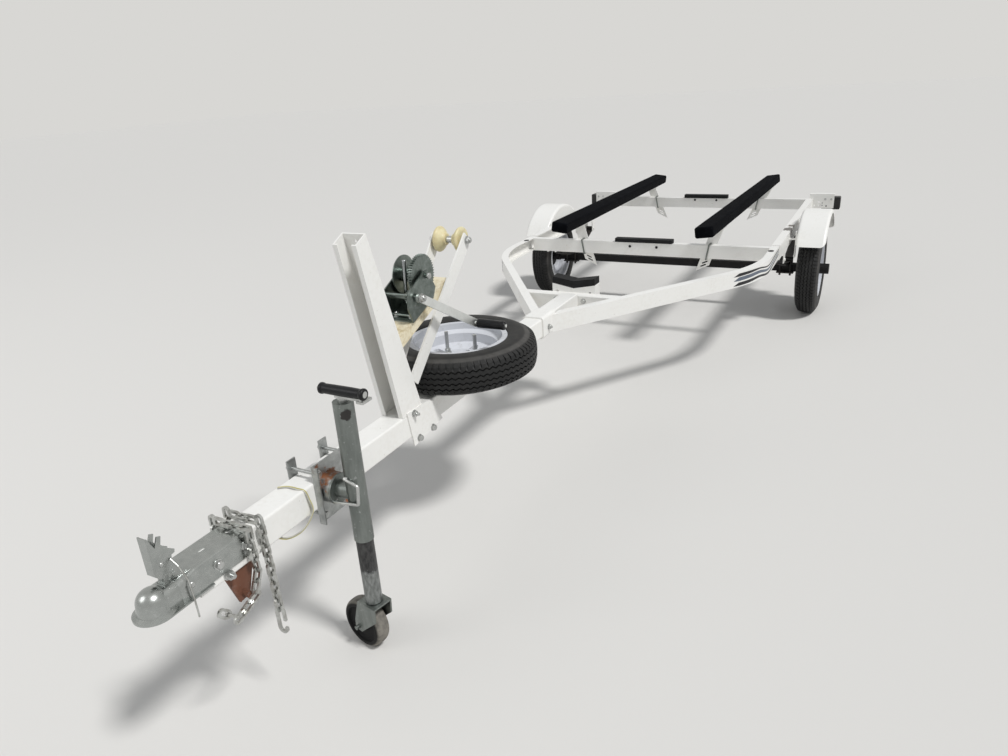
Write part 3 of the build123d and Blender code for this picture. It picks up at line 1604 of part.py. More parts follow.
# Lamp brackets at the rear rails' ends, and the lamps behind them
back = rear_rail_rear
with BuildPart() as lamp_brackets:
    block(rail_outer_x - 18, lamp_bracket_x, at(back), at(back) + 3, lamp_bracket_z, lamp_bracket_top)
    block(rail_outer_x - 18, lamp_bracket_x, at(back), at(back) + 40, lamp_bracket_top - 3, lamp_bracket_top)
    with BuildSketch(across(back + 3)):
        with Locations(*lamp_holes):
            Circle(lamp_hole_radius)
    extrude(amount=3, mode=Mode.SUBTRACT)
    mirror(about=Plane.YZ)
lamp_brackets.part.label = "lamp_brackets"
export_step(lamp_brackets.part, "parts/lamp_brackets.step")

with BuildPart() as lamps:
    with BuildSketch(across(back + 3 + lamp_depth)):
        with Locations((lamp_outer_x - lamp_width / 2, lamp_bracket_z - 8 + lamp_height / 2)):
            RectangleRounded(lamp_width, lamp_height, 9)
    extrude(amount=lamp_depth)
    mirror(about=Plane.YZ)
lamps.part.label = "lamps"
export_step(lamps.part, "parts/lamps.step")
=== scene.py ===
import bmesh
import bpy
import json
import math
import numpy as np
from mathutils import Matrix, Vector


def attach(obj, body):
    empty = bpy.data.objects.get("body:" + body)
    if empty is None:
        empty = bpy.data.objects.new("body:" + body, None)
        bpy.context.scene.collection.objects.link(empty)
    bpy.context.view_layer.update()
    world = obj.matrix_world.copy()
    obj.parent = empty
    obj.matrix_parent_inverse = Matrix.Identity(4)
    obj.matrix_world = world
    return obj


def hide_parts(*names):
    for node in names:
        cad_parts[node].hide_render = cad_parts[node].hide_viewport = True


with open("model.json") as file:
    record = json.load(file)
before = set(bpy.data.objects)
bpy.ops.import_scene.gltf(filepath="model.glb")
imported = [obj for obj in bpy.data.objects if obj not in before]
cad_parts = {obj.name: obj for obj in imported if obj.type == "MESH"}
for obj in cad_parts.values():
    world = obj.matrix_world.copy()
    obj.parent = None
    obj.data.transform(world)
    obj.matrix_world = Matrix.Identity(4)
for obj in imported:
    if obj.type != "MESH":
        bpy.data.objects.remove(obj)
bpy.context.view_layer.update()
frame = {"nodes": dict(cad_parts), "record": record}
nodes = frame["nodes"]
print("frame loaded:", len(nodes), "nodes")

camera = {
    "place": (1.2359, -3.2275, 1.4231),  # metres, beside the coupler at eye level
    "yaw": 28.6505,  # degrees, turned from +Y towards -X
    "pitch": -22.183,
    "roll": -3.8422,
    "lens": 26.329, "film": 36,  # mm, the focal length and the width of the film
    "farthest": 100,  # metres
}


def placeCamera(c):
    # the camera looks along its own -Z: columns are right, up and backward
    yaw, pitch, roll = (math.radians(c[k]) for k in ("yaw", "pitch", "roll"))
    ahead = Vector((-math.sin(yaw) * math.cos(pitch), math.cos(yaw) * math.cos(pitch), math.sin(pitch)))
    side = Vector((math.cos(yaw), math.sin(yaw), 0))
    over = side.cross(ahead)
    right = side * math.cos(roll) + over * math.sin(roll)
    up = over * math.cos(roll) - side * math.sin(roll)
    data = bpy.data.cameras.new("camera")
    data.sensor_width = c["film"]
    data.sensor_fit = "HORIZONTAL"
    data.lens = c["lens"]
    data.clip_end = c["farthest"]
    obj = bpy.data.objects.new("camera", data)
    bpy.context.scene.collection.objects.link(obj)
    turn = Matrix((right, up, -ahead)).transposed().to_4x4()
    obj.matrix_world = Matrix.Translation(Vector(c["place"])) @ turn
    bpy.context.scene.camera = obj


placeCamera(camera)

noseReach = 2.55  # metres from the coupler's nose back to the row's origin
port, starboard, front, rear, up = (1, 0, 0), (-1, 0, 0), (0, -1, 0), (0, 1, 0), (0, 0, 1)
bothSides = (("port", 1), ("starboard", -1))


def at(station):
    # row Y of a length along the trailer, counted in metres rearward from the coupler's nose
    return station - noseReach


def toLinear(hexText):
    # an sRGB hex value as linear red, green, blue and alpha
    values = np.array([int(hexText[i:i + 2], 16) for i in (0, 2, 4)]) / 255
    linear = np.where(values <= 0.04045, values / 12.92, ((values + 0.055) / 1.055) ** 2.4)
    return (*[float(v) for v in linear], 1.0)


def addNode(material, kind, settings=None, links=None):
    # one node of a material or the world, with its settings by name and its inputs from values, hex
    # colours or other nodes' outputs
    tree = material.node_tree
    node = tree.nodes.new(kind)
    for key, value in (settings or {}).items():
        setattr(node, key, value)
    for key, value in (links or {}).items():
        socket = node.inputs[key]
        if isinstance(value, bpy.types.NodeSocket):
            tree.links.new(value, socket)
        else:
            socket.default_value = toLinear(value) if isinstance(value, str) else value
    return node


def startMaterial(name, base, roughness, metallic=0.0, more=None):
    # a material with its shader, its output and Object coordinates in metres; more sets other sockets
    material = bpy.data.materials.new(name)
    material.use_nodes = True
    material.node_tree.nodes.clear()
    output = addNode(material, "ShaderNodeOutputMaterial")
    shader = addNode(material, "ShaderNodeBsdfPrincipled", None, {
        "Base Color": base, "Roughness": roughness, "Metallic": metallic, **(more or {})})
    joinTo(material, shader.outputs[0], output.inputs[0])
    place = addNode(material, "ShaderNodeTexCoord").outputs["Object"]
    return material, shader, place


def noiseAt(material, place, sizeMm, detail=3.0, roughness=0.55, stretch=None):
    # noise whose blotches are about sizeMm across; stretch scales its axes
    if stretch:
        place = addNode(material, "ShaderNodeMapping", None, {"Vector": place, "Scale": stretch}).outputs[0]
    return addNode(material, "ShaderNodeTexNoise", None, {
        "Vector": place, "Scale": 1000 / sizeMm, "Detail": detail, "Roughness": roughness}).outputs[0]


def levels(material, factor, fromLow, fromHigh, toLow, toHigh):
    # a factor moved from one range to another, and held at its ends
    return addNode(material, "ShaderNodeMapRange", None, {
        "Value": factor, "From Min": fromLow, "From Max": fromHigh, "To Min": toLow, "To Max": toHigh}).outputs[0]


def mixTones(material, factor, first, second):
    # two colours or colour outputs by a factor
    return addNode(material, "ShaderNodeMix", {"data_type": "RGBA"}, {0: factor, 6: first, 7: second}).outputs[2]


def combine(material, operation, first, second):
    # two numbers by one operation
    return addNode(material, "ShaderNodeMath", {"operation": operation}, {0: first, 1: second}).outputs[0]


def joinTo(material, source, socket):
    material.node_tree.links.new(source, socket)


def bumpFrom(material, shader, height, strength, depthMm):
    bump = addNode(material, "ShaderNodeBump", None, {
        "Height": height, "Strength": strength, "Distance": depthMm / 1000})
    joinTo(material, bump.outputs[0], shader.inputs["Normal"])


def nearSpot(material, place, spot, radius, ragged=0.35, sizeMm=14):
    # 1 within radius metres of a spot, ragged by noise, falling to 0 outside
    away = addNode(material, "ShaderNodeVectorMath", {"operation": "DISTANCE"}, {0: place, 1: spot})
    torn = levels(material, noiseAt(material, place, sizeMm, 4), 0.3, 0.7, 1 - ragged, 1 + ragged)
    reached = combine(material, "MULTIPLY", away.outputs["Value"], torn)
    return levels(material, reached, radius * 0.85, radius * 1.1, 1, 0)


def powderCoat(name, tone, dusty, roughness=0.3, grime=0.16, spots=()):
    # baked powder coat over steel: a hard gloss skin with faint orange peel, thin road film and rubbed spots
    material, shader, place = startMaterial(name, tone, roughness, 0.0, {"Coat Weight": 0.2, "Coat Roughness": 0.25})
    film = noiseAt(material, place, 160, 5)
    fine = noiseAt(material, place, 14, 4)
    both = combine(material, "MULTIPLY", film, fine)
    colour = mixTones(material, levels(material, both, 0.24, 0.42, 0, grime), tone, dusty)
    chips = levels(material, noiseAt(material, place, 7, 2), 0.74, 0.77, 0, 0.7)
    colour = mixTones(material, chips, colour, "8d8779")
    for spot, radius, patch in spots:
        colour = mixTones(material, nearSpot(material, place, spot, radius), colour, patch)
    joinTo(material, colour, shader.inputs["Base Color"])
    joinTo(material, levels(material, both, 0.15, 0.45, roughness, roughness + 0.22), shader.inputs["Roughness"])
    bumpFrom(material, shader, noiseAt(material, place, 2.6, 2), 0.1, 0.12)
    return material


def zincPlate(name, light, dark, roughness=0.42, stretch=None, spots=(), contrast=1.0):
    # electroplated zinc that has stood outside: a dull metal skin, faintly mottled, with white bloom and runs
    material, shader, place = startMaterial(name, light, roughness, 1.0)
    cloud = noiseAt(material, place, 22, 5, 0.6, stretch)
    speck = noiseAt(material, place, 2.5, 3)
    colour = mixTones(material, levels(material, cloud, 0.3, 0.7, 0, contrast), light, dark)
    bloom = levels(material, noiseAt(material, place, 9, 4), 0.62, 0.72, 0, 0.3)
    colour = mixTones(material, bloom, colour, "d8dad9")
    rough = levels(material, speck, 0.3, 0.7, roughness - 0.04, roughness + 0.06)
    shine = 1.0
    # each spot lays its colour over the zinc and dulls its shine: rust on the jack's bracket, painted shade on its leg
    for spot, radius, patch in spots:
        near = nearSpot(material, place, spot, radius)
        colour = mixTones(material, near, colour, patch)
        shine = combine(material, "SUBTRACT", shine, near)
    joinTo(material, colour, shader.inputs["Base Color"])
    joinTo(material, rough, shader.inputs["Roughness"])
    if spots:
        joinTo(material, combine(material, "MAXIMUM", shine, 0.0), shader.inputs["Metallic"])
    bumpFrom(material, shader, speck, 0.05, 0.12)
    return material


def moulded(name, tone, second, roughness, grainMm=1.2, strength=0.15, amount=1.0, gloss=0.5):
    # moulded rubber or plastic: fine grain from the mould and a dusty bloom
    material, shader, place = startMaterial(name, tone, roughness, 0.0, {"Specular IOR Level": gloss})
    bloom = noiseAt(material, place, 34, 4)
    colour = mixTones(material, levels(material, bloom, 0.42, 0.72, 0, amount), tone, second)
    joinTo(material, colour, shader.inputs["Base Color"])
    joinTo(material, levels(material, bloom, 0.3, 0.7, roughness - 0.06, roughness + 0.12), shader.inputs["Roughness"])
    bumpFrom(material, shader, noiseAt(material, place, grainMm, 2), strength, 0.2)
    return material


def castUrethane(name):
    # cast polyurethane gone yellow in the sun: waxy, a little see-through at the rims, dirt in its pores
    material, shader, place = startMaterial(name, "dcd2a6", 0.42, 0.0, {
        "Subsurface Weight": 0.12, "Subsurface Radius": (0.008, 0.006, 0.003)})
    cloud = noiseAt(material, place, 20, 4)
    colour = mixTones(material, levels(material, cloud, 0.35, 0.7, 0, 0.7), "e2d9b0", "cbb98a")
    dirt = levels(material, noiseAt(material, place, 4, 3), 0.66, 0.74, 0, 0.6)
    joinTo(material, mixTones(material, dirt, colour, "6f5f3a"), shader.inputs["Base Color"])
    bumpFrom(material, shader, noiseAt(material, place, 1.5, 2), 0.1, 0.2)
    return material


def slideTube(name, split):
    # the jack's inner tube: zinc plate, under old black grease above a height in metres
    material, shader, place = startMaterial(name, "8d9191", 0.45, 1.0)
    height = addNode(material, "ShaderNodeSeparateXYZ", None, {0: place}).outputs[2]
    torn = levels(material, noiseAt(material, place, 9, 4), 0.3, 0.7, -0.008, 0.008)
    greased = levels(material, combine(material, "ADD", height, torn), split - 0.006, split + 0.006, 0, 1)
    smear = noiseAt(material, place, 7, 4, 0.6, (1, 1, 0.35))
    blotch = levels(material, smear, 0.35, 0.7, 0, 1)
    grease = mixTones(material, blotch, "1a1a1b", "474746")
    clean = mixTones(material, blotch, "9a9d9c", "6f7271")
    joinTo(material, mixTones(material, greased, clean, grease), shader.inputs["Base Color"])
    joinTo(material, levels(material, greased, 0, 1, 1, 0.1), shader.inputs["Metallic"])
    bumpFrom(material, shader, smear, 0.3, 0.6)
    return material


def vulcanised(name, scuff, amount):
    # vulcanised tyre rubber: matt black, browner dust on the sidewall and a scuffed ring by the shoulder
    material, shader, place = startMaterial(name, "131314", 0.62, 0.0, {"Specular IOR Level": 0.42})
    wall = addNode(material, "ShaderNodeAttribute", {"attribute_name": "sidewall"}).outputs["Fac"]
    dust = levels(material, noiseAt(material, place, 26, 5), 0.35, 0.7, 0, 0.55)
    dust = combine(material, "MULTIPLY", dust, levels(material, wall, 0, 0.3, 0.35, 1))
    colour = mixTones(material, dust, "0f1011", "302e2b")
    begins, ends = levels(material, wall, 0.16, 0.22, 0, 1), levels(material, wall, 0.34, 0.42, 1, 0)
    torn = levels(material, noiseAt(material, place, 40, 5), 0.3, 0.65, amount * 0.4, amount)
    ring = combine(material, "MULTIPLY", combine(material, "MULTIPLY", begins, ends), torn)
    joinTo(material, mixTones(material, ring, colour, scuff), shader.inputs["Base Color"])
    bumpFrom(material, shader, noiseAt(material, place, 1.6, 3), 0.2, 0.25)
    return material


def wornCaster(name):
    # solid rubber tyre of the jack's wheel: black sides, its tread rubbed grey with grit
    material, shader, place = startMaterial(name, "101011", 0.72, 0.0, {"Specular IOR Level": 0.3})
    tread = addNode(material, "ShaderNodeAttribute", {"attribute_name": "tread"}).outputs["Fac"]
    markedSpots = combine(material, "MULTIPLY", tread, levels(material, noiseAt(material, place, 16, 5), 0.3, 0.6, 0.45, 1))
    joinTo(material, mixTones(material, markedSpots, "101011", "827e76"), shader.inputs["Base Color"])
    bumpFrom(material, shader, noiseAt(material, place, 3, 4), 0.3, 0.5)
    return material


def needledCarpet(name, tuftMm=3.0):
    # needle-punched polypropylene carpet: short dull pile, a fine fuzz against the light. Its tufts are
    # coarser than the real ones, so that they show
    material, shader, place = startMaterial(name, "08090b", 1.0, 0.0, {
        "Specular IOR Level": 0.02, "Sheen Weight": 0.015, "Sheen Roughness": 0.6})
    pile = addNode(material, "ShaderNodeTexVoronoi", {"feature": "F1"}, {"Vector": place, "Scale": 1000 / tuftMm})
    fuzz = noiseAt(material, place, 1.6, 3)
    dust = levels(material, noiseAt(material, place, 60, 4), 0.5, 0.78, 0, 0.6)
    joinTo(material, mixTones(material, dust, "0a0b0e", "17191e"), shader.inputs["Base Color"])
    bumpFrom(material, shader, combine(material, "ADD", pile.outputs[0], fuzz), 0.6, 1.0)
    return material


def clearLens(name, tone, halfRibMm):
    # injection-moulded acrylic over a reflector: deep colour, hard gloss, and ribs from the mould, each
    # about twice halfRibMm wide
    material, shader, place = startMaterial(name, tone, 0.12, 0.0, {"Coat Weight": 0.6})
    fullTurn = 6.283  # radians
    ribs = addNode(material, "ShaderNodeTexWave", {"bands_direction": "X"}, {
        "Vector": place, "Scale": 1000 / halfRibMm / fullTurn, "Distortion": 0.0}).outputs[1]
    bumpFrom(material, shader, ribs, 0.5, 0.8)
    return material


markedSpots = {  # rubbed, rusty and bare spots on the rails and the jack's bracket, and painted shade on the jack's leg, each as place, radius in metres and colour
    "rails": [
        ((0.712, at(3.80), 0.52), 0.045, "3b332d"), ((0.716, at(3.90), 0.52), 0.03, "4a3f35"),
        ((-0.712, at(3.86), 0.52), 0.022, "54483c")],
    # painted shade: a dark patch standing for a hole under the crank's head that lies in shadow
    "leg": [((0.153, at(0.524), 0.712), 0.015, "2b2825")],
    "bracket": [
        ((0.056, at(0.543), 0.506), 0.034, "8a5a3c"), ((0.05, at(0.62), 0.41), 0.03, "8a5230"),
        ((0.05, at(0.51), 0.56), 0.012, "6d4630")],
}
rubbedRail = powderCoat("powder_coat_white_rubbed", "f0efeb", "cfc9bd", spots=markedSpots["rails"])
zinc = zincPlate("zinc_plate", "cccdcc", "aeb0ae", 0.34)
# the leg's zinc carries that painted shade as a dark, dull patch
legZinc = zincPlate("zinc_plate_leg", "8b908d", "6f7471", 0.42, (1, 1, 0.2), markedSpots["leg"])
rustyZinc = zincPlate("zinc_plate_rusting", "b6b8b7", "8f9291", 0.42, None, markedSpots["bracket"])
couplerZinc = zincPlate("zinc_plate_coupler", "b0b3b1", "969a98", 0.26, contrast=0.6)
chainZinc = zincPlate("zinc_plate_chain", "cfd1cf", "9b9a95", 0.32)
blackEnamel = moulded("axle_enamel_black", "0e0e0f", "232120", 0.6, 2.0, 0.1, 0.7, 0.25)
tyreRubber = vulcanised("tyre_rubber", "575452", 0.5)
spareRubber = vulcanised("tyre_rubber_scuffed", "5e5c59", 0.6)
vinyl = moulded("grip_vinyl", "0a0b0e", "16171b", 0.32, 1.0, 0.1, 1.0, 0.3)
finishes = {  # by the record's slots
    "white_paint": powderCoat("powder_coat_white", "f0efeb", "cfc9bd"),
    "cream_paint": powderCoat("powder_coat_cream", "e9dfc3", "b79f6c", 0.42, 0.8),
    "wheel_silver": powderCoat("wheel_enamel_silver", "cfd1d6", "a9a9aa", 0.35, 0.45),
    "zinc": zinc,
    "winch_zinc": zincPlate("zinc_plate_green", "8e9692", "626b66", 0.34),
    "spring_steel": moulded("spring_paint_black", "121213", "2e2822", 0.6),
    "greased_steel": slideTube("slide_tube", 0.262),
    "carpet": needledCarpet("bunk_carpet"),
    "black_rubber": moulded("pad_rubber", "0e0f10", "1f2022", 0.66, 1.4, 0.25, 1.0, 0.25),
    "black_paint": blackEnamel,
    "tyre": tyreRubber,
    "caster_rubber": wornCaster("caster_rubber"),
    "yellowed_plastic": castUrethane("roller_urethane"),
    "lamp_plastic": moulded("lamp_abs", "101011", "1e1e1f", 0.4),
    "grip_plastic": vinyl,
    "wire_plastic": moulded("wire_pvc", "a9a583", "d7d2bb", 0.45, 1.0, 0.05),
}
ownFinish = {  # nodes that look different from the rest of their slot
    "rails_rear": rubbedRail,
    "rails_front": rubbedRail,
    "jack_leg": legZinc,
    "jack_bracket": rustyZinc,
    "jack_clamp": rustyZinc,
    "bunk_bolts": legZinc,
    "jack_fork": legZinc,
    "coupler_body": couplerZinc,
    "coupler_latch": couplerZinc,
    # the crank's zinc is paler than the plate elsewhere: bright galvanising, and a painted highlight, because its face
    # turns towards darker parts of the studio
    "winch_crank": zincPlate("zinc_plate_bright_with_painted_highlight", "e9ebe9", "d2d4d2", 0.42, contrast=0.6),
    "chain_port": chainZinc,
    "chain_low": chainZinc,
    "latch_chain": chainZinc,
    "chain_bracket": powderCoat("primer_rusting", "6f4734", "3f2b21", 0.7, 1.0),
}
slotOf = {row["node"]: row["material_slot"] for row in frame["record"]["subparts"]}
for name, obj in nodes.items():
    finish = ownFinish.get(name, finishes[slotOf[name]])
    obj.data.materials.clear()
    obj.data.materials.append(finish)
    obj.data.polygons.foreach_set("material_index", np.zeros(len(obj.data.polygons), dtype=np.int32))
print("finishes on", len(nodes), "nodes")


def pieceFrom(name, points, faces, finish, body, sharp=40.0, fields=None, stands=()):
    # a mesh from points (n, 3) and faces (m, 4), its doubles merged and its faces turned outward.
    # Edges that turn more than sharp degrees stay crisp; it rides on a body and may stand for nodes
    points = np.ascontiguousarray(points, dtype=np.float32).reshape(-1, 3)
    faces = np.ascontiguousarray(faces, dtype=np.int32)
    mesh = bpy.data.meshes.new(name)
    mesh.vertices.add(len(points))
    mesh.vertices.foreach_set("co", points.ravel())
    mesh.loops.add(faces.size)
    mesh.loops.foreach_set("vertex_index", faces.ravel())
    mesh.polygons.add(len(faces))
    mesh.polygons.foreach_set("loop_start", np.arange(0, faces.size, faces.shape[1], dtype=np.int32))
    mesh.update(calc_edges=True)
    for key, values in (fields or {}).items():
        layer = mesh.attributes.new(key, "FLOAT", "POINT")
        layer.data.foreach_set("value", np.ascontiguousarray(values, dtype=np.float32).ravel())
    shell = bmesh.new()
    shell.from_mesh(mesh)
    bmesh.ops.remove_doubles(shell, verts=shell.verts, dist=2e-6)
    bmesh.ops.recalc_face_normals(shell, faces=shell.faces)
    shell.to_mesh(mesh)
    shell.free()
    mesh.polygons.foreach_set("use_smooth", np.ones(len(mesh.polygons), dtype=bool))
    mesh.set_sharp_from_angle(angle=math.radians(sharp))
    mesh.materials.append(finish)
    obj = bpy.data.objects.new(name, mesh)
    bpy.context.scene.collection.objects.link(obj)
    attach(obj, body)
    if stands:
        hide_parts(*stands)


def gridFaces(rows, columns, wrapRows=False, wrapColumns=False):
    # the quads between neighbours on a grid of points, numbered row by row
    rowRun = np.arange(rows if wrapRows else rows - 1)
    columnRun = np.arange(columns if wrapColumns else columns - 1)
    row, column = np.meshgrid(rowRun, columnRun, indexing="ij")
    nextRow, nextColumn = (row + 1) % rows, (column + 1) % columns
    corners = ((row, column), (nextRow, column), (nextRow, nextColumn), (row, nextColumn))
    return np.stack([r * columns + c for r, c in corners], -1).reshape(-1, 4)


def joined(patches):
    # several (points, faces) pairs as one
    points, faces, count = [], [], 0
    for patchPoints, patchFaces in patches:
        patchPoints = np.asarray(patchPoints).reshape(-1, 3)
        points.append(patchPoints)
        faces.append(patchFaces + count)
        count += len(patchPoints)
    return np.concatenate(points), np.concatenate(faces)


def axesFor(direction):
    # a direction and two more, all square to each other
    ahead = np.array(direction, float) / np.linalg.norm(direction)
    helper = (0, 0, 1) if abs(ahead[2]) < 0.9 else (0, 1, 0)
    side = np.cross(helper, ahead)
    side /= np.linalg.norm(side)
    return ahead, side, np.cross(ahead, side)


def arcThrough(first, middle, last, count):
    # points on the circle through three points of a plane, evenly by angle
    (ax, ay), (bx, by), (cx, cy) = first, middle, last
    twice = 2 * (ax * (by - cy) + bx * (cy - ay) + cx * (ay - by))
    a2, b2, c2 = ax * ax + ay * ay, bx * bx + by * by, cx * cx + cy * cy
    ux = (a2 * (by - cy) + b2 * (cy - ay) + c2 * (ay - by)) / twice
    uy = (a2 * (cx - bx) + b2 * (ax - cx) + c2 * (bx - ax)) / twice
    start, mid, end = (math.atan2(y - uy, x - ux) for x, y in (first, middle, last))
    turn = (end - start) % (2 * math.pi)
    if (mid - start) % (2 * math.pi) > turn:
        turn -= 2 * math.pi
    angle = start + turn * np.linspace(0, 1, count)
    radius = math.hypot(ax - ux, ay - uy)
    return np.stack((ux + radius * np.cos(angle), uy + radius * np.sin(angle)), -1)


def turned(profile, centre, axis, steps, closed=False):
    # surface of revolution: angle around an axis by the (along, radius) steps of a profile, whose two
    # ends are joined where it is closed
    profile = np.asarray(profile, float)
    ahead, side, over = axesFor(axis)
    angle = np.linspace(0, 2 * np.pi, steps, endpoint=False)[:, None, None]
    around = side * np.cos(angle) + over * np.sin(angle)
    points = np.array(centre) + ahead * profile[None, :, :1] + around * profile[None, :, 1:]
    return points, gridFaces(steps, len(profile), wrapRows=True, wrapColumns=closed)


def smoothRoute(points, count):
    # smooth cubic curve through the points, its ends prolonged by mirroring, at even steps of its parameter
    p = np.asarray(points, float)
    p = np.concatenate((2 * p[:1] - p[1:2], p, 2 * p[-1:] - p[-2:-1]))
    run = np.linspace(0, len(points) - 1, count)
    first = np.minimum(run.astype(int), len(points) - 2)
    f = (run - first)[:, None]
    a, b, c, d = (p[first + k] for k in range(4))
    return 0.5 * (2 * b + (c - a) * f + (2 * a - 5 * b + 4 * c - d) * f ** 2 + (3 * b - a - 3 * c + d) * f ** 3)


# Tyres: the CAD section with tread cut into it
tyre = {
    "radius": 0.262, "treadHalf": 0.043, "halfWidth": 0.062, "bead": 0.1527, "foot": 0.168,
    "seatHalf": 0.0497, "footHalf": 0.0556,  # half widths where it sits on the rim and where the wall begins
    "widestAt": 0.207,  # radius where the wall is widest
    "shoulder": (0.024, 0.009),  # metres down and in, where the wall ends
    "crownDrop": 0.007,  # from the tread's middle to its edge
    "ridges": ((0.0012, 0.12, 0.05), (0.0009, 0.8, 0.035)),  # height, place and width of rings on the wall
    "grooves": (0.027, 0.009, -0.009, -0.027),  # metres from the middle
    "grooveHalf": 0.0025, "grooveDepth": 0.0060, "ribHalf": 0.009,
    "edgeRows": (0.0405, 0.0365, 0.0325),  # rows of points between the tread's edge and the first groove
    "zigzag": 0.0032, "zigzagFade": 0.005,
    "pitches": 76, "pitchSteps": (0, 0.1, 0.14, 0.36, 0.4, 0.5, 0.7, 0.85),
    "notch": (0.12, 0.38), "lugDepth": 0.0055,  # where in a pitch the shoulder is notched, and how deep
}


def mirrored(half, middle, sign=1):
    # the values of one half, those between, and the other half in reverse
    return np.concatenate((half, middle, sign * half[::-1]))


def tyreShape(centre, axis, t):
    # torus of two parameters: angle around by run across the section, bead to bead over the tread and
    # back inside. Across the tread the run's columns swing by a zigzag of the angle, and grooves and
    # shoulder notches lower the radius
    step = np.array(t["pitchSteps"])
    turn = (np.arange(t["pitches"])[:, None] + step).ravel() / t["pitches"]
    zig = np.tile(np.abs(step * 2 - 1) * 2 - 1, t["pitches"])
    notch = np.tile(((step > t["notch"][0]) & (step < t["notch"][1])).astype(float), t["pitches"])

    # one half of the section: rim seat, wall with its raised rings, shoulder
    fall, inward = t["shoulder"]
    wallEnd = (t["radius"] - fall, t["halfWidth"] - inward)
    wall = arcThrough((t["foot"], t["footHalf"]), (t["widestAt"], t["halfWidth"]), wallEnd, 18)
    run = np.linspace(0, 1, len(wall))
    ridge = sum(height * np.exp(-((run - spot) / width) ** 2) for height, spot, width in t["ridges"])
    wall[:, 1] += np.minimum(ridge, t["halfWidth"] - wall[:, 1] - 0.0001)
    shoulder = np.linspace(wall[-1], (t["radius"] - t["crownDrop"], t["treadHalf"]), 5)[1:]
    seat = [(t["bead"], t["seatHalf"]), (t["foot"], t["seatHalf"])]
    half = np.concatenate((seat, wall, shoulder))
    none = np.zeros(len(half))
    halfCut = np.concatenate((none[4:], (0.35, 0.8, 1.0, 1.0)))
    halfRun = np.concatenate(([1, 1], 1 - run * 0.8, (0.15, 0.1, 0.05, 0)))

    # the tread: four rows of points to a groove, and one along the middle of each rib
    across, depth = list(t["edgeRows"]), [0.0, 0.0, 0.0]
    for middle in t["grooves"]:
        across += [middle + t["grooveHalf"] * share for share in (1, 0.6, -0.6, -1)]
        depth += [0, t["grooveDepth"], t["grooveDepth"], 0]
        if middle > t["grooves"][-1]:
            across.append(middle - t["ribHalf"])
            depth.append(0)
    across = np.array(across + [-row for row in t["edgeRows"][::-1]])
    depth = np.array(depth + [0.0, 0.0, 0.0])
    cut = np.concatenate(((1.0, 0.8, 0.0), np.zeros(len(across) - 6), (0.0, 0.8, 1.0)))
    swing = np.clip((t["edgeRows"][1] - np.abs(across)) / t["zigzagFade"], 0, 1) * t["zigzag"]
    crown = t["radius"] - t["crownDrop"] * (across / t["treadHalf"]) ** 2

    section = mirrored(half[:, 0], crown) - mirrored(none, depth)
    radius = section[None] - notch[:, None] * mirrored(halfCut, cut)[None] * t["lugDepth"]
    offset = mirrored(half[:, 1], across, -1)[None] + zig[:, None] * mirrored(none, swing)[None]
    ahead, side, over = axesFor(axis)
    angle = 2 * np.pi * turn[:, None, None]
    around = side * np.cos(angle) + over * np.sin(angle)
    points = np.array(centre) + ahead * offset[..., None] + around * radius[..., None]
    wallRun = mirrored(halfRun, np.zeros(len(across)))
    return points, gridFaces(*radius.shape, True, True), np.broadcast_to(wallRun, radius.shape)


wheels = {  # centre, axis, body and rubber
    "port": ((0.831, at(3.945), 0.262), port, "wheel_port", tyreRubber),
    "starboard": ((-0.831, at(3.945), 0.262), starboard, "wheel_starboard", tyreRubber),
    "spare": ((0, at(1.283), 0.584), (0, 0, -1), "frame", spareRubber),
}
for name, (centre, axis, body, rubber) in wheels.items():
    points, faces, wallRun = tyreShape(centre, axis, tyre)
    pieceFrom(f"treaded_tyre_{name}", points, faces, rubber, body, 28.0,
              fields={"sidewall": wallRun}, stands=[f"tyre_{name}"])
print("tyres made")


# Bunks: planks wrapped in carpet, soft along their edges and rounded over at the ends
bunk = {
    "width": 0.095, "depth": 0.057, "tilt": 7.0, "corner": 0.011,
    "front": (0.394, 3.05, 0.637), "rear": (0.418, 5.1, 0.617),  # X, station and Z of each end's middle
    "lift": 0.008, "waves": (19.0, 7.3),  # how much the carpet gives, as a share, and in radians a metre
    "rows": 150, "arc": 7,  # points along it, and round each corner
}


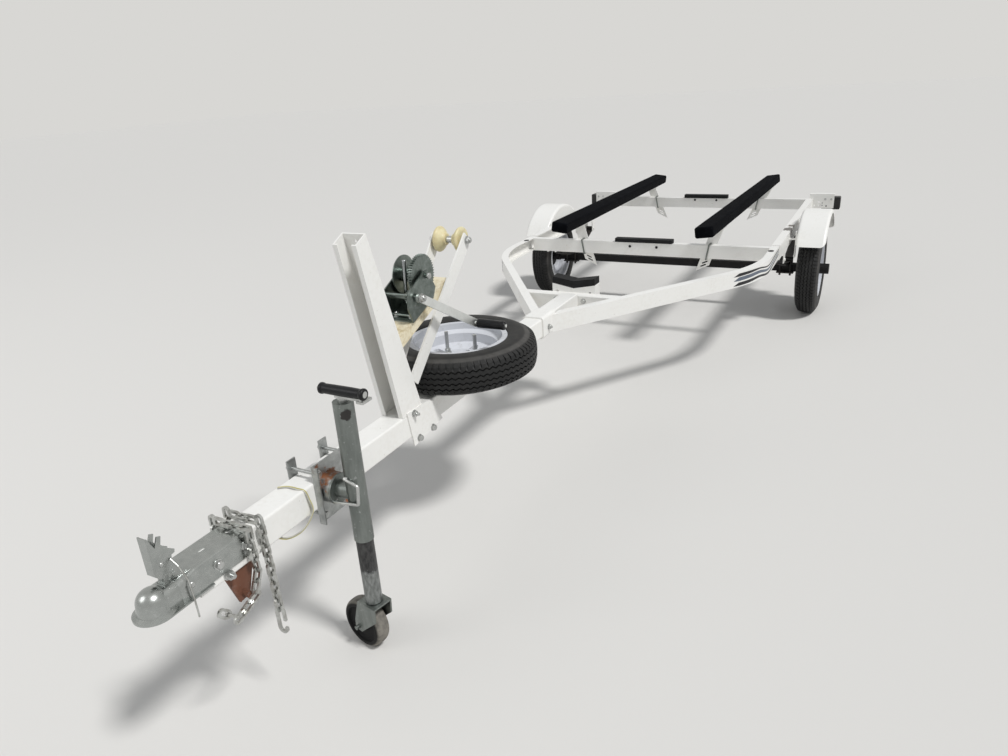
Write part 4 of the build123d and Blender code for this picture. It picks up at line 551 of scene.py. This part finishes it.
def bunkShape(side, b):
    # length along the plank by angle round it: a rounded rectangle whose size shrinks by a quarter
    # circle within the corner's radius of each end, and waves a little where the carpet lifts
    start, end = (np.array((side * x, at(station), z)) for x, station, z in (b["front"], b["rear"]))
    length = np.linalg.norm(end - start)
    along = (end - start) / length
    tilt = math.radians(b["tilt"])
    lean = np.array((side * math.cos(tilt), 0, math.sin(tilt)))
    wide = lean - along * lean.dot(along)
    wide /= np.linalg.norm(wide)
    thick = np.cross(along, wide)
    turn = np.linspace(0, np.pi / 2, b["arc"])
    near = b["corner"] * (1 - np.cos(turn))
    shrink = b["corner"] * (1 - np.sin(turn))
    inner = np.linspace(b["corner"], length - b["corner"], b["rows"])[1:-1]
    run = np.concatenate(([0], near, inner, length - near[::-1], [length]))
    inset = np.concatenate(([b["corner"]], shrink, np.zeros(len(inner)), shrink[::-1], [b["corner"]]))
    closeEnd = np.ones(len(run))
    closeEnd[[0, -1]] = 0
    corners = []
    for quarter, (signX, signY) in enumerate(((1, 1), (-1, 1), (-1, -1), (1, -1))):
        angle = quarter * np.pi / 2 + turn
        corners.append(np.stack((
            signX * (b["width"] / 2 - b["corner"]) + b["corner"] * np.cos(angle),
            signY * (b["depth"] / 2 - b["corner"]) + b["corner"] * np.sin(angle)), -1))
    ring = np.concatenate(corners)
    size = np.abs(ring).max(0)
    scale = (1 - inset[:, None, None] / size) * closeEnd[:, None, None]
    fast, slow = b["waves"]
    lift = 1 - b["lift"] * (0.5 + 0.5 * np.sin(run * fast + side) * np.sin(run * slow))
    section = ring[None] * scale * lift[:, None, None]
    points = start + along * run[:, None, None] + wide * section[..., :1] + thick * section[..., 1:]
    return points, gridFaces(len(run), len(ring), wrapColumns=True)


for name, side in bothSides:
    points, faces = bunkShape(side, bunk)
    pieceFrom(f"carpeted_bunk_{name}", points, faces, finishes["carpet"], "frame", 60.0,
              stands=[f"bunk_{name}"])
print("bunks made")


def rounded(points, radius, steps=5):
    # a profile whose inner corners are replaced by arcs of about a radius
    points = np.asarray(points, float)
    smooth = [points[:1]]
    blendAt = np.linspace(0, 1, steps)[:, None]
    for before, corner, after in zip(points[:-2], points[1:-1], points[2:]):
        toBefore, toAfter = before - corner, after - corner
        reach = min(radius, np.linalg.norm(toBefore) / 2.05, np.linalg.norm(toAfter) / 2.05)
        first = corner + toBefore / np.linalg.norm(toBefore) * reach
        last = corner + toAfter / np.linalg.norm(toAfter) * reach
        smooth.append(first * (1 - blendAt) ** 2 + 2 * corner * blendAt * (1 - blendAt) + last * blendAt ** 2)
    smooth.append(points[-1:])
    return np.concatenate(smooth)


# Bow roller: two cones, a steel bush between them and a washer at each end. Every profile from here on
# is a row of (along the axis, radius) steps
bowRoller = {
    "place": (0, at(1.2938), 0.9598),
    "cone": [(0.012, 0.0064), (0.012, 0.0180), (0.018, 0.0205), (0.034, 0.0392), (0.0395, 0.0412),
             (0.0440, 0.0380), (0.0455, 0.0310), (0.0435, 0.0150), (0.0435, 0.0064)],
    "bush": [(-0.0122, 0.0064), (-0.0122, 0.0110), (0.0122, 0.0110), (0.0122, 0.0064)],
    "washer": [(0.0436, 0.0064), (0.0436, 0.0130), (0.0498, 0.0130), (0.0498, 0.0064)],
}
cone = rounded(bowRoller["cone"], 0.004, 6)
bush, washer = (rounded(bowRoller[key], 0.001, 3) for key in ("bush", "washer"))
points, faces = joined([turned(cone, bowRoller["place"], axis, 72, True) for axis in (port, starboard)])
pieceFrom("bow_roller_cones", points, faces, finishes["yellowed_plastic"], "roller",
          stands=["bow_roller"])
points, faces = joined([turned(profile, bowRoller["place"], axis, 40, True)
                        for profile, axis in ((bush, port), (washer, port), (washer, starboard))])
pieceFrom("bow_roller_bush", points, faces, zinc, "roller")

# Grip of the jack's crank: a vinyl sleeve with a flange at each end
jackGrip = {
    "place": (0.087, at(0.525), 0.775),
    "profile": [(0.0, 0.0), (0.0, 0.009), (0.001, 0.014), (0.008, 0.014), (0.012, 0.0122), (0.040, 0.0128),
                (0.090, 0.0128), (0.118, 0.0122), (0.122, 0.0145), (0.128, 0.0145), (0.130, 0.012), (0.130, 0.0)],
}
points, faces = turned(rounded(jackGrip["profile"], 0.003, 4), jackGrip["place"], port, 40)
pieceFrom("jack_grip_sleeve", points, faces, vinyl, "frame", stands=["jack_grip"])

# Winch: the grip's sleeve at the end of the crank's arm
winch = {
    "station": 1.0107, "z": 0.85259,  # the crank's shaft
    "crank": -34.0, "radius": 0.230,  # degrees above level towards the rear, and the arm's length
    "foot": 0.060, "lean": 0.062,  # X where the arm begins, and how far out it leans
    "base": (0.915, 0.7620, 0.3759),  # the sloping plate it stands on: a station, the height there, the slope
    "grip": [(0.008, 0.0054), (0.008, 0.0125), (0.012, 0.0148), (0.030, 0.0148), (0.085, 0.0135),
             (0.096, 0.0145), (0.103, 0.0130), (0.1042, 0.008), (0.1042, 0.0)],
}
crankTurn = math.radians(winch["crank"])
kneeStation = winch["station"] + winch["radius"] * math.cos(crankTurn)
kneeZ = winch["z"] + winch["radius"] * math.sin(crankTurn)
knee = (winch["foot"] + winch["lean"], at(kneeStation), kneeZ)
points, faces = turned(rounded(winch["grip"], 0.003, 4), knee, port, 40)
pieceFrom("winch_grip_sleeve", points, faces, vinyl, "crank", stands=["winch_grip"])

# Caster: the jack's solid rubber wheel, hollowed beside its hub
caster = {
    "centre": (0.08798334, at(0.552356), 0.0715), "axle": (0.207912, 0.978148, 0),
    "half": [(0.0, 0.0715), (0.012, 0.0708), (0.0205, 0.0660), (0.023, 0.0590), (0.0225, 0.0540),
             (0.0135, 0.0520), (0.0125, 0.0240), (0.0225, 0.0190), (0.023, 0.0062)],
    "treadFrom": 0.062, "treadFade": 0.005,  # radius past which it is rubbed, and metres to fade in
}
profile = rounded([(-along, radius) for along, radius in caster["half"][:0:-1]] + caster["half"], 0.004, 4)
points, faces = turned(profile, caster["centre"], caster["axle"], 72, True)
tread = np.clip((profile[:, 1] - caster["treadFrom"]) / caster["treadFade"], 0, 1)
pieceFrom("caster_tyre", points, faces, finishes["caster_rubber"], "caster_wheel",
          fields={"tread": np.broadcast_to(tread, points.shape[:2])}, stands=["jack_wheel"])
print("turned pieces made")


fastener = {
    "around": 24,  # points round each ring
    "sunk": 0.0004,  # metres into what it stands on, so that no gap shows
    "washer": 0.0016, "washerEdge": 0.8, "washerBevel": 0.0006,  # thickness, straight share of it, bevel
    "bevelFrom": 0.86, "bevelTo": 0.97,  # shares of a nut's height and width, where its top edge slopes
    "stud": 0.3, "studTop": 0.22, "studBevel": 0.001,  # shares of the width, and metres
    "domeSteps": 6,
}


def fastenerShape(spot, axis, width, height, washer=0.0, stud=0.0, sides=6, f=fastener):
    # head or nut on its washer: angle around by the steps of its outline, from the centre of its foot to
    # the centre of its top. Six flats hold the radius where it is a nut; a dome falls by a quarter circle
    ahead, side, over = axesFor(axis)
    angle = np.linspace(0, 2 * np.pi, f["around"], endpoint=False)
    ring = np.ones_like(angle)
    half, rim, shaft = ring * width / 2, ring * washer / 2, ring * width * f["stud"]
    foot = f["washer"] if washer else 0.0
    top = foot + height
    steps = [(0 * ring, -f["sunk"])]
    if washer:
        steps += [(rim, -f["sunk"]), (rim, foot * f["washerEdge"]), (ring * (washer / 2 - f["washerBevel"]), foot)]
    if sides:
        flats = width / 2 / np.cos(angle % (np.pi / 3) - np.pi / 6)
        steps += [(flats, foot), (flats, foot + height * f["bevelFrom"]), (half * f["bevelTo"], top)]
    else:
        quarter = np.linspace(0, np.pi / 2, f["domeSteps"])[:-1]
        steps += [(half * math.cos(a), foot + height * math.sin(a)) for a in quarter]
    if stud:
        steps += [(shaft, top), (shaft, top + stud)]
        top = top + stud + f["studBevel"]
        steps.append((ring * width * f["studTop"], top))
    steps.append((0 * ring, top))
    radius = np.array([s[0] for s in steps])
    rise = np.array([s[1] for s in steps])
    around = side * np.cos(angle)[None, :, None] + over * np.sin(angle)[None, :, None]
    points = np.array(spot) + ahead * rise[:, None, None] + around * radius[..., None]
    return points, gridFaces(len(steps), f["around"], wrapColumns=True)


# Bolts, nuts and rivets, each as place, direction, width, height, washer, stud length and sides
baseStation, baseHeight, baseSlope = winch["base"]
boltRows = {
    "pad_screws": [
        ((x, at(station), z), front, 0.015, 0.008, 0, 0, 0)
        for station, z in ((3.313, 0.4915), (4.8145, 0.5045)) for x in (-0.077, 0.077)],
    "coupler_bolts": [row for station, z in ((0.181, 0.497), (0.260, 0.4945)) for row in (
        ((0.0413, at(station), z), port, 0.017, 0.0075, 0.024, 0, 6),
        ((-0.0413, at(station), z), starboard, 0.017, 0.010, 0, 0.006, 6))] + [
        ((0.0380, at(0.113), 0.492), (0.97, -0.22, 0), 0.015, 0.004, 0, 0, 0),
        ((-0.0380, at(0.113), 0.492), (-0.97, -0.22, 0), 0.015, 0.004, 0, 0, 0),
        ((0.012, at(0.077), 0.559), port, 0.011, 0.003, 0, 0, 0)],
    "chain_plate_bolts": [
        ((0.0381, at(0.2006), 0.4560), port, 0.019, 0.012, 0.026, 0.007, 6)],
    "jack_clamp_nuts": [row for station in (0.510, 0.630) for z in (0.5415, 0.4253) for row in (
        ((0.0422, at(station), z), port, 0.016, 0.008, 0.022, 0, 6),
        ((-0.0422, at(station), z), starboard, 0.016, 0.008, 0.022, 0, 6))],
    "post_foot_bolts": [row for station, z in ((0.938, 0.518), (0.952, 0.4313), (1.027, 0.4313)) for row in (
        ((0.0422, at(station), z), port, 0.016, 0.009, 0.023, 0.008 if z > 0.5 else 0, 6),
        ((-0.0422, at(station), z), starboard, 0.016, 0.009, 0.023, 0, 6))],
    "sleeve_bolts": [
        ((0.0453, at(1.909), 0.4761), port, 0.017, 0.008, 0.024, 0.006, 6),
        ((-0.0453, at(1.909), 0.4761), starboard, 0.017, 0.008, 0.024, 0.006, 6)],
    "roller_nuts": [
        ((0.0592, at(1.2938), 0.9598), port, 0.019, 0.010, 0.027, 0.003, 6),
        ((-0.0592, at(1.2938), 0.9598), starboard, 0.019, 0.010, 0.027, 0, 6)],
    "winch_base_bolts": [
        ((x, at(station), baseHeight + (station - baseStation) * baseSlope + 0.0003),
         (0, -0.352, 0.936), 0.014, 0.007, 0.02, 0.004, 6)
        for x in (-0.026, 0.026) for station in (1.004, 1.084)],
    "keel_bracket_bolts": [
        ((x, at(2.237), z), front, 0.017, 0.008, 0.024, 0, 6) for x, z in ((-0.0652, 0.490), (0.0652, 0.490))] + [
        ((x, at(2.291), 0.470), rear, 0.017, 0.008, 0.024, 0.005, 6) for x in (-0.0652, 0.0652)],
    "jack_grip_pin": [
        ((0.2170, at(0.525), 0.775), port, 0.016, 0.0008, 0, 0, 0),
        ((0.0872, at(0.525), 0.775), starboard, 0.011, 0.009, 0.015, 0, 0)],
    "fender_bolts": [
        ((side * 0.7602, at(3.97 + end * 0.22), z), (side, 0, 0), 0.014, 0.004, 0.02, 0, 0)
        for side in (-1, 1) for end in (-1, 1) for z in (0.486, 0.505)],
    "lamp_nuts": [
        ((side * x, at(4.8525), z), front, 0.010, 0.006, 0.014, 0.006, 6)
        for side in (-1, 1) for x, z in ((0.800, 0.515), (0.838, 0.515))],
    "spare_nuts": [
        ((side * 0.05435, at(1.3007), 0.5715), up, 0.019, 0.012, 0.026, 0, 6) for side in (-1, 1)],
    "crank_nut": [
        ((0.0630, at(winch["station"]), winch["z"]), port, 0.020, 0.009, 0.027, 0.003, 6)],
    "drum_shaft_heads": [
        ((0.0512, at(1.072), 0.902), port, 0.017, 0.006, 0, 0, 6),
        ((-0.0512, at(1.072), 0.902), starboard, 0.017, 0.006, 0, 0, 6)],
}
movesWith = {"crank_nut": "crank", "drum_shaft_heads": "drum"}
for name, rows in boltRows.items():
    points, faces = joined([fastenerShape(*row) for row in rows])
    finish, slotName = (blackEnamel, "black_paint") if name == "pad_screws" else (zinc, "zinc")
    pieceFrom(name, points, faces, finish, movesWith.get(name, "frame"), 30.0)
print("fasteners made")


# Stripes: thin vinyl bands that wave along the rails' outer faces
rail = {
    "outer": 0.7177, "slope": math.radians(34.4),  # X of the straight part's face, and the angle ahead of it
    "bend": 0.673, "bendEnd": 3.136,  # radius of the bend between them, and the station where it ends
}
stripe = {
    "stations": (2.765, 2.86, 2.95, 3.05, 3.16, 3.36),
    "bands": [  # middle height and half width in metres at each of those stations, and the finish
        ((0.4995, 0.4995, 0.4985, 0.4850, 0.4920, 0.5000),
         (0.0078, 0.0066, 0.0040, 0.0034, 0.0036, 0.0030), "stripe_vinyl_black"),
        ((0.4790, 0.4800, 0.4810, 0.4680, 0.4760, 0.4880),
         (0.0090, 0.0086, 0.0072, 0.0055, 0.0040, 0.0030), "stripe_vinyl_grey"),
        ((0.4555, 0.4560, 0.4590, 0.4490, 0.4590, 0.4740),
         (0.0080, 0.0076, 0.0056, 0.0052, 0.0045, 0.0035), "stripe_vinyl_black"),
    ],
    "thick": 0.0003, "sunk": 0.3,  # metres, and the share of it below the paint
    "steps": 120,
    "taper": 0.06, "point": 0.05, "drop": 0.006,  # share of its length, share of its width, and metres
}
stripeFinish = {
    "stripe_vinyl_black": moulded("stripe_vinyl_black", "08090c", "17181b", 0.4, 3.0, 0.03),
    "stripe_vinyl_grey": moulded("stripe_vinyl_grey", "59626f", "6f7783", 0.4, 3.0, 0.03),
}


def railFace(station, r):
    # X of the port rail's outer face and its outward direction, by station: straight, bend, straight
    station = np.asarray(station, float)
    turn = np.arcsin(np.clip((r["bendEnd"] - station) / r["bend"], 0, math.sin(r["slope"])))
    straight = np.maximum(r["bendEnd"] - r["bend"] * math.sin(r["slope"]) - station, 0) * math.tan(r["slope"])
    return r["outer"] - r["bend"] * (1 - np.cos(turn)) - straight, np.stack((np.cos(turn), -np.sin(turn)), -1)


def stripeShape(side, heights, halves, s, r):
    # run along the rail by the four corners of a thin band: its middle height and half width follow a
    # smooth curve through the values at the six stations, and it widens from a point at its front
    run = np.linspace(0, 1, s["steps"])
    station, middle, half = smoothRoute(np.stack((s["stations"], heights, halves), -1), s["steps"]).T
    half = half * np.clip(run / s["taper"], s["point"], 1)
    middle = middle - s["drop"] * np.clip(1 - run / s["taper"], 0, 1)
    x, outward = railFace(station, r)
    points = np.zeros((len(run), 4, 3))
    for column, (rise, lift) in enumerate(((-1, 0), (1, 0), (1, 1), (-1, 1))):
        points[:, column, 0] = side * (x + outward[:, 0] * s["thick"] * (lift - s["sunk"]))
        points[:, column, 1] = at(station) + outward[:, 1] * s["thick"] * (lift - s["sunk"])
        points[:, column, 2] = middle + rise * half
    last = 4 * len(run)
    ends = [[0, 1, 2, 3], [last - 1, last - 2, last - 3, last - 4]]
    return points, np.concatenate((gridFaces(len(run), 4, wrapColumns=True), ends))


for name, side in bothSides:
    for kind, finish in stripeFinish.items():
        patches = [stripeShape(side, *row[:2], stripe, rail) for row in stripe["bands"] if row[2] == kind]
        points, faces = joined(patches)
        pieceFrom(f"{kind}_{name}", points, faces, finish, "frame", 30.0)

# Plugs of the oval slots in the rails' tops
slotPlug = {"x": 0.6945, "station": 3.249, "z": 0.5141, "halfX": 0.0150, "halfY": 0.0200, "height": 0.0008}


def ovalShape(side, p):
    # angle round by share from the middle to the rim of a low oval cap
    angle = np.linspace(0, 2 * np.pi, 40, endpoint=False)[:, None]
    share = np.array([0, 0.6, 0.9, 1.0, 1.0, 0.0])[None]
    rise = np.array([1.0, 1.0, 0.9, 0.3, -0.5, -0.5])[None] * p["height"]
    x = side * p["x"] + p["halfX"] * share * np.cos(angle)
    y = at(p["station"]) + p["halfY"] * share * np.sin(angle)
    return np.stack((x, y, p["z"] + rise + 0 * x), -1), gridFaces(40, 6, wrapRows=True)


points, faces = joined([ovalShape(side, slotPlug) for side in (-1, 1)])
pieceFrom("rail_slot_plugs", points, faces, blackEnamel, "frame")
print("stripes and plugs made")


# Lamp lenses: a shallow pillow on the rear of each lamp, amber at the outer end
lens = {
    "outer": 0.895, "width": 0.115, "low": 0.447, "height": 0.082, "rear": 4.9135, "bulge": 0.006, "inset": 0.004,
    "amber": 0.030, "gap": 0.001,  # width of the amber end, and the line between the two
    "power": 0.3,  # of sine and cosine: 1 makes an oval, 0 a rectangle
}
lensFinish = {
    "red": clearLens("lens_acrylic_red", "8f0f12", 5.0),
    "amber": clearLens("lens_acrylic_amber", "b45a10", 5.0),
}


def lensShape(side, xLow, xHigh, l):
    # angle round by share from the middle to the rim of a rounded rectangle, higher in the middle
    angle = np.linspace(0, 2 * np.pi, 64, endpoint=False)[:, None]
    share = np.array([0, 0.3, 0.6, 0.8, 0.92, 0.98, 1.0, 1.0, 0.0])[None]
    rise = np.array([1, 0.98, 0.94, 0.88, 0.75, 0.5, 0.25, -0.15, -0.15])[None] * l["bulge"]
    halfX, halfZ = (xHigh - xLow) / 2, l["height"] / 2 - l["inset"]
    x = np.sign(np.cos(angle)) * np.abs(np.cos(angle)) ** l["power"] * halfX * share + (xLow + xHigh) / 2
    z = np.sign(np.sin(angle)) * np.abs(np.sin(angle)) ** l["power"] * halfZ * share + l["low"] + l["height"] / 2
    return np.stack((side * x, at(l["rear"]) + rise + 0 * x, z), -1), gridFaces(64, 9, wrapRows=True)


split = lens["outer"] - lens["amber"]
lensSpans = (
    ("red", lens["outer"] - lens["width"] + lens["inset"], split),
    ("amber", split + lens["gap"], lens["outer"] - lens["inset"]))
for name, side in bothSides:
    for tone, xLow, xHigh in lensSpans:
        points, faces = lensShape(side, xLow, xHigh, lens)
        pieceFrom(f"lamp_lens_{tone}_{name}", points, faces, lensFinish[tone], "frame")

# Hook bar that hangs between the drum's flange and its gear
hookBar = {
    "foot": (-0.010, at(1.0405), 0.852), "axis": (0.0, 0.06, 1),
    "profile": [(0, 0), (0, 0.0065), (0.100, 0.0065), (0.100, 0)],
    "finish": zincPlate("bright_zinc", "c3c6c7", "9da1a2", 0.22),
}
points, faces = turned(rounded(hookBar["profile"], 0.004, 5), hookBar["foot"], hookBar["axis"], 24)
pieceFrom("drum_hook_bar", points, faces, hookBar["finish"], "drum")
print("lenses and hook bar made")


def tubeShape(route, radius, sides=12, shift=(0, 0)):
    # a circle carried along a route, turned with it as little as it can be; its ends close to a point
    ahead = np.gradient(route, axis=0)
    ahead /= np.linalg.norm(ahead, axis=1)[:, None]
    side = [axesFor(ahead[0])[1]]
    for direction in ahead[1:]:
        carried = side[-1] - direction * side[-1].dot(direction)
        side.append(carried / np.linalg.norm(carried))
    side = np.array(side)
    over = np.cross(ahead, side)
    middle = route + side * shift[0] + over * shift[1]
    middle = np.concatenate((middle[:1], middle, middle[-1:]))
    side, over = (np.concatenate((v[:1], v, v[-1:])) for v in (side, over))
    size = np.full(len(middle), radius)
    size[[0, -1]] = 0
    angle = np.linspace(0, 2 * np.pi, sides, endpoint=False)[None, :, None]
    ring = side[:, None] * np.cos(angle) + over[:, None] * np.sin(angle)
    return middle[:, None] + ring * size[:, None, None], gridFaces(len(middle), sides, wrapColumns=True)


# Lamp wires: two laid side by side, held out of the tongue's top, over its port edge and back under it
wire = {
    "radius": 0.0019, "apart": 1.05,  # metres, and radii from the middle of the pair to each wire
    "route": ((-0.030, 0.443, 0.5235), (-0.010, 0.4555, 0.5237), (0.020, 0.4570, 0.5237), (0.0375, 0.463, 0.517),
              (0.0420, 0.468, 0.492), (0.0460, 0.4700, 0.4620), (0.0460, 0.4490, 0.4400), (0.0410, 0.4220, 0.4260),
              (0.0340, 0.3880, 0.4290), (0.0245, 0.362, 0.4450)),  # X, station and Z
}
route = smoothRoute([(x, at(station), z) for x, station, z in wire["route"]], 110)
for name, tone, dusty, sign in (("yellow", "b6ad62", "d6cf95", 1), ("white", "bdbbb2", "98968d", -1)):
    points, faces = tubeShape(route, wire["radius"], shift=(wire["radius"] * wire["apart"] * sign, 0))
    insulation = moulded(f"wire_pvc_{name}", tone, dusty, 0.4, 1.0, 0.05)
    pieceFrom(f"lamp_wire_{name}", points, faces, insulation, "frame", stands=["wiring_loop"])

# Pull ring of the jack's swivel pin: bent rod, thicker than the solid's wire
pinRing = {
    "radius": 0.0042, "bend": 0.0045,
    "route": ((0.132, 0.5175, 0.543), (0.121, 0.514, 0.543), (0.162, 0.514, 0.529), (0.156, 0.514, 0.476),
              (0.077, 0.514, 0.466), (0.077, 0.526, 0.470)),  # X, station and Z
}
route = rounded([(x, at(station), z) for x, station, z in pinRing["route"]], pinRing["bend"], 6)
apart = np.concatenate(([True], np.linalg.norm(np.diff(route, axis=0), axis=1) > 1e-5))  # no point twice
points, faces = tubeShape(route[apart], pinRing["radius"])
pieceFrom("jack_pin_ring", points, faces, zinc, "frame")
print("wires and pull ring made")


# Studio: a sun for the shadows, a soft lamp from ahead, an even world and a pale floor
light = {
    "aim": (0, -0.6, 0.4),
    "keyFrom": (0.565, -0.095, 0.819),  # towards port and up, as the photograph's shadows lie
    "keyAway": 8,
    "keyAngle": 9.0,  # degrees across, for soft-edged shadows
    "keyPower": 2.3,
    "fillFrom": (-3.5, -6, 4.5),
    "fillSize": 4.0,
    "fillPower": 90,
    "worldStrength": 0.42,
    "world": "e9edf2",
    "backdrop": "d8d7d4",
    "floor": "dad8d4",
    "floorReach": 40.0,
}


def placeLight(name, kind, spot, aim, size, power):
    # a sun whose size is the angle that it fills, or a round area lamp of a width in metres
    data = bpy.data.lights.new(name, kind)
    if kind == "SUN":
        data.angle = math.radians(size)
    else:
        data.shape = "DISK"
        data.size = size
    data.energy = power
    obj = bpy.data.objects.new(name, data)
    bpy.context.scene.collection.objects.link(obj)
    ahead = (aim - spot).normalized()
    obj.matrix_world = Matrix.Translation(spot) @ ahead.to_track_quat("-Z", "Y").to_matrix().to_4x4()


def placeFloor(reach, tone):
    # matt studio floor, pale and even
    mesh = bpy.data.meshes.new("floor")
    corners = [(-reach, -reach, 0), (reach, -reach, 0), (reach, reach, 0), (-reach, reach, 0)]
    mesh.from_pydata(corners, [], [(0, 1, 2, 3)])
    obj = bpy.data.objects.new("floor", mesh)
    bpy.context.scene.collection.objects.link(obj)
    mesh.materials.append(startMaterial("floor_pale", tone, 0.9)[0])


def placeWorld(strength, tone, backdrop):
    # soft even light from all round, and a pale backdrop where the camera or a gloss looks at it
    world = bpy.data.worlds.new("world")
    world.use_nodes = True
    back, output = world.node_tree.nodes["Background"], world.node_tree.nodes["World Output"]
    back.inputs[0].default_value = toLinear(tone)
    back.inputs[1].default_value = strength
    pale = addNode(world, "ShaderNodeBackground", None, {0: backdrop})
    rays = addNode(world, "ShaderNodeLightPath")
    seen = rays.outputs["Is Camera Ray"]
    for kind in ("Is Glossy Ray", "Is Transmission Ray"):
        seen = combine(world, "MAXIMUM", seen, rays.outputs[kind])
    choose = addNode(world, "ShaderNodeMixShader", None, {0: seen, 1: back.outputs[0], 2: pale.outputs[0]})
    joinTo(world, choose.outputs[0], output.inputs[0])
    bpy.context.scene.world = world


aim = Vector(light["aim"])
placeLight("key", "SUN", aim + Vector(light["keyFrom"]) * light["keyAway"], aim, light["keyAngle"], light["keyPower"])
placeLight("fill", "AREA", aim + Vector(light["fillFrom"]), aim, light["fillSize"], light["fillPower"])
placeFloor(light["floorReach"], light["floor"])
placeWorld(light["worldStrength"], light["world"], light["backdrop"])
bpy.context.scene.view_settings.view_transform = "Standard"
print("floor and light placed")
